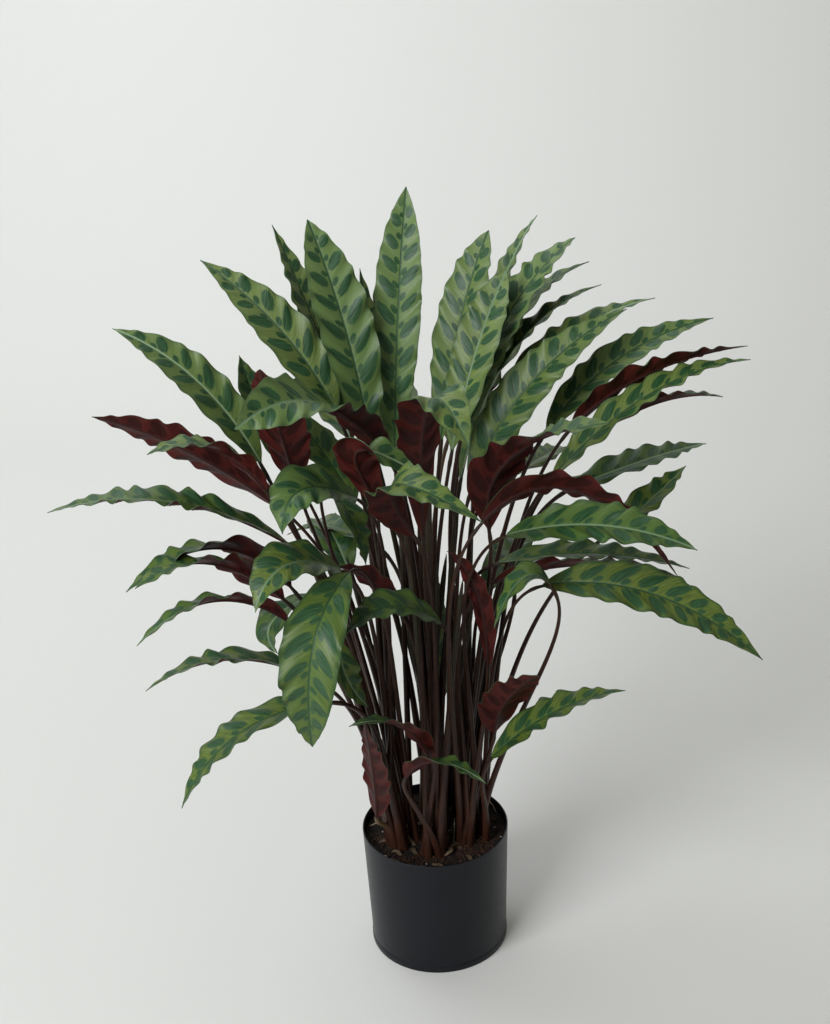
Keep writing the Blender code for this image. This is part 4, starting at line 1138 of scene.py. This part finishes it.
# %% [markdown]
# Fibres and dry scraps finish it. A fibre is a thin bent thread, a scrap is a curled strip of an
# old papery sheath, and a few thin dry stalks arch over the soil. Each kind is again one formula
# for all copies: a bent line carried out sideways, round for a thread and flat for a scrap.

# %% Fibres and dry scraps
def bent_lines(draw, count, length, steps, arch):
    """Lines that start on the soil, run level with a random bend and rise by the arch."""
    t = np.linspace(0, 1, steps)[None, :]
    turn = draw.uniform(0, 2 * np.pi, (count, 1)) + draw.normal(0, 1.1, (count, 1)) * t
    size = draw.uniform(*length, (count, 1)) / (steps - 1)
    flat = np.stack([np.cos(turn), np.sin(turn)], -1) * size[..., None]
    start = places_on_soil(draw, count, 0.86)
    plan = start[:, None, :2] + np.cumsum(flat, axis=1)
    far = np.hypot(plan[..., 0], plan[..., 1])
    plan = plan * np.minimum(1, (soil_radius - 2) / far)[..., None]
    rise = draw.uniform(*arch, (count, 1)) * np.sin(np.pi * t) + 0.8
    return np.concatenate([plan, (soil_height(plan[..., 0], plan[..., 1]) + rise)[..., None]], -1)


def strands(name, lines, wide, thick, material, slot):
    """A rectangle with the two given half sizes carried along each line, closed at both ends."""
    count, steps = lines.shape[:2]
    tangent = unit(np.gradient(lines, axis=1))
    side = unit(np.cross(tangent, (0.0, 0.0, 1.0)))
    up = np.cross(side, tangent)
    corner = np.array([(-1, -1), (1, -1), (1, 1), (-1, 1)], float)
    taper = (0.35 + 0.65 * np.sin(np.pi * np.linspace(0.06, 0.94, steps)))[None, :, None, None]
    across = corner[None, None, :, :1] * side[:, :, None] * wide * taper
    points = lines[:, :, None] + across + corner[None, None, :, 1:] * up[:, :, None] * thick
    block = steps * 4
    faces = [ring_faces(steps, 4, i * block) for i in range(count)]
    ends = [[i * block + j for j in (3, 2, 1, 0)] for i in range(count)]
    ends += [[(i + 1) * block - 4 + j for j in range(4)] for i in range(count)]
    faces = np.concatenate(faces).tolist() + ends
    piece = new_piece(name, points.reshape(-1, 3), faces, [material], sharp=35)
    stand_for(piece, slot)
    print(name + ":", count)


# %% What is laid on top
# Fibres are rust brown and dull. An old sheath dries to a papery grey brown with a faint sheen, and
# a dry stalk bleaches to the colour of straw and is the smoothest of the three.
root_fibre = plain_material("rusty_peat_fibre", "#5E3820", "#2A180E", 300.0, 0.85)
dry_sheath = plain_material("dry_papery_sheath", "#6E5E49", "#33271C", 160.0, 0.7)
pale_stalk = plain_material("bleached_dry_stalk", "#B5A88E", "#7D705A", 200.0, 0.6)
draw = np.random.default_rng([SEED, 31])
strands("peat_fibres", bent_lines(draw, 260, (6, 22), 8, (0.2, 2.2)), 0.22, 0.2, root_fibre, "soil")
strands("dry_scraps", bent_lines(draw, 18, (12, 26), 8, (0.5, 3.5)), 2.6, 0.25, dry_sheath, "soil")
strands("dry_stalks", bent_lines(draw, 5, (40, 70), 16, (4.0, 12.0)), 0.55, 0.5, pale_stalk, "soil")

# %% [markdown]
# ## Floor, light and camera
#
# The plant stands on a wide sheet of pale paper that sweeps up far behind it, so no line shows
# behind the plant. One large soft light high on the left in front gives the soft shadow behind
# on the right, a faint skylight puts a sheen on the blades, and two lights wash the paper far
# behind, more on the left than on the right. The camera stands as it did for the photograph: a
# little above the plant, looking down by 22 degrees and turned a little clockwise, so the plant
# leans to the left.

# %% The sweep
# The paper is matt, with no gloss at all, so the floor shows only the plant's soft shadow.
PAPER_PALE = "#DCDCD8"
PAPER_HALF_WIDTH = 5000.0
PAPER_FRONT = -5000.0
PAPER_BACK = 3300.0
PAPER_BEND = 1500.0
PAPER_HEIGHT = 4000.0

turn = np.linspace(0, np.pi / 2, 24)
bend_y = PAPER_BACK - PAPER_BEND + PAPER_BEND * np.sin(turn)
bend_z = PAPER_BEND - PAPER_BEND * np.cos(turn)
line_y = np.concatenate([[PAPER_FRONT], bend_y, [PAPER_BACK]])
line_z = np.concatenate([[0.0], bend_z, [PAPER_HEIGHT]])
line_x = np.array([-PAPER_HALF_WIDTH, PAPER_HALF_WIDTH])
grid = np.stack(np.broadcast_arrays(line_x[None, :], line_y[:, None], line_z[:, None]), -1)
paper, tree, shader = new_material("matt_white_paper", Roughness=0.9, Specular_IOR_Level=0.2)
shader.inputs["Base Color"].default_value = linear(PAPER_PALE)
sweep = new_piece("paper_sweep", grid.reshape(-1, 3), grid_faces(*grid.shape[:2]).tolist(), [paper])
print("paper:", len(sweep.data.polygons), "faces")

# %% Light
ROOM_COLOUR = "#FAF9F2"
ROOM_STRENGTH = 0.29

world = bpy.data.worlds.new("pale_room")
bpy.context.scene.world = world
world.use_nodes = True
room = world.node_tree.nodes["Background"]
room.inputs["Color"].default_value = linear(ROOM_COLOUR)
room.inputs["Strength"].default_value = ROOM_STRENGTH


def soft_light(name, place, target, size, power, colour):
    """A square area light that looks from one place at another; sizes in metres."""
    lamp = bpy.data.lights.new(name, "AREA")
    lamp.size = size
    lamp.energy = power
    lamp.color = linear(colour)[:3]
    made = bpy.data.objects.new(name, lamp)
    made.location = place
    made.rotation_mode = "QUATERNION"
    made.rotation_quaternion = (Vector(target) - Vector(place)).to_track_quat("-Z", "Y")
    bpy.context.scene.collection.objects.link(made)
    print(name + ":", power, "W from", place)


soft_light("window", (-1.9, -2.2, 2.1), (0, 0, 0.5), 1.8, 104.0, "#FAFCFF")
soft_light("skylight", (-0.9, 0.7, 2.5), (0, 0.1, 0.6), 1.6, 5.0, "#EEF5FF")
soft_light("wall_wash_left", (-1.3, 1.4, 3.2), (-0.9, 3.3, 1.3), 2.0, 48.0, "#F6FAFF")
soft_light("wall_wash_right", (0.6, 1.6, 3.3), (0.6, 3.3, 1.6), 2.2, 16.0, "#F8FAFF")
bpy.context.scene.view_settings.view_transform = "Standard"

# %% Camera
CAMERA_PLACE = (-0.0065, -1.403, 1.126)
CAMERA_DOWN = 22.43
CAMERA_TURN = -2.68
CAMERA_LENS = 50.0

camera_data = bpy.data.cameras.new("photo_camera")
camera_data.lens = CAMERA_LENS
camera_data.clip_start = 0.05
camera = bpy.data.objects.new("photo_camera", camera_data)
camera.location = CAMERA_PLACE
look = Matrix.Rotation(math.radians(90 - CAMERA_DOWN), 4, "X")
camera.rotation_euler = (look @ Matrix.Rotation(math.radians(CAMERA_TURN), 4, "Z")).to_euler()
bpy.context.scene.collection.objects.link(camera)
bpy.context.scene.camera = camera
print("camera:", CAMERA_LENS, "mm lens, looking down by", CAMERA_DOWN, "degrees")
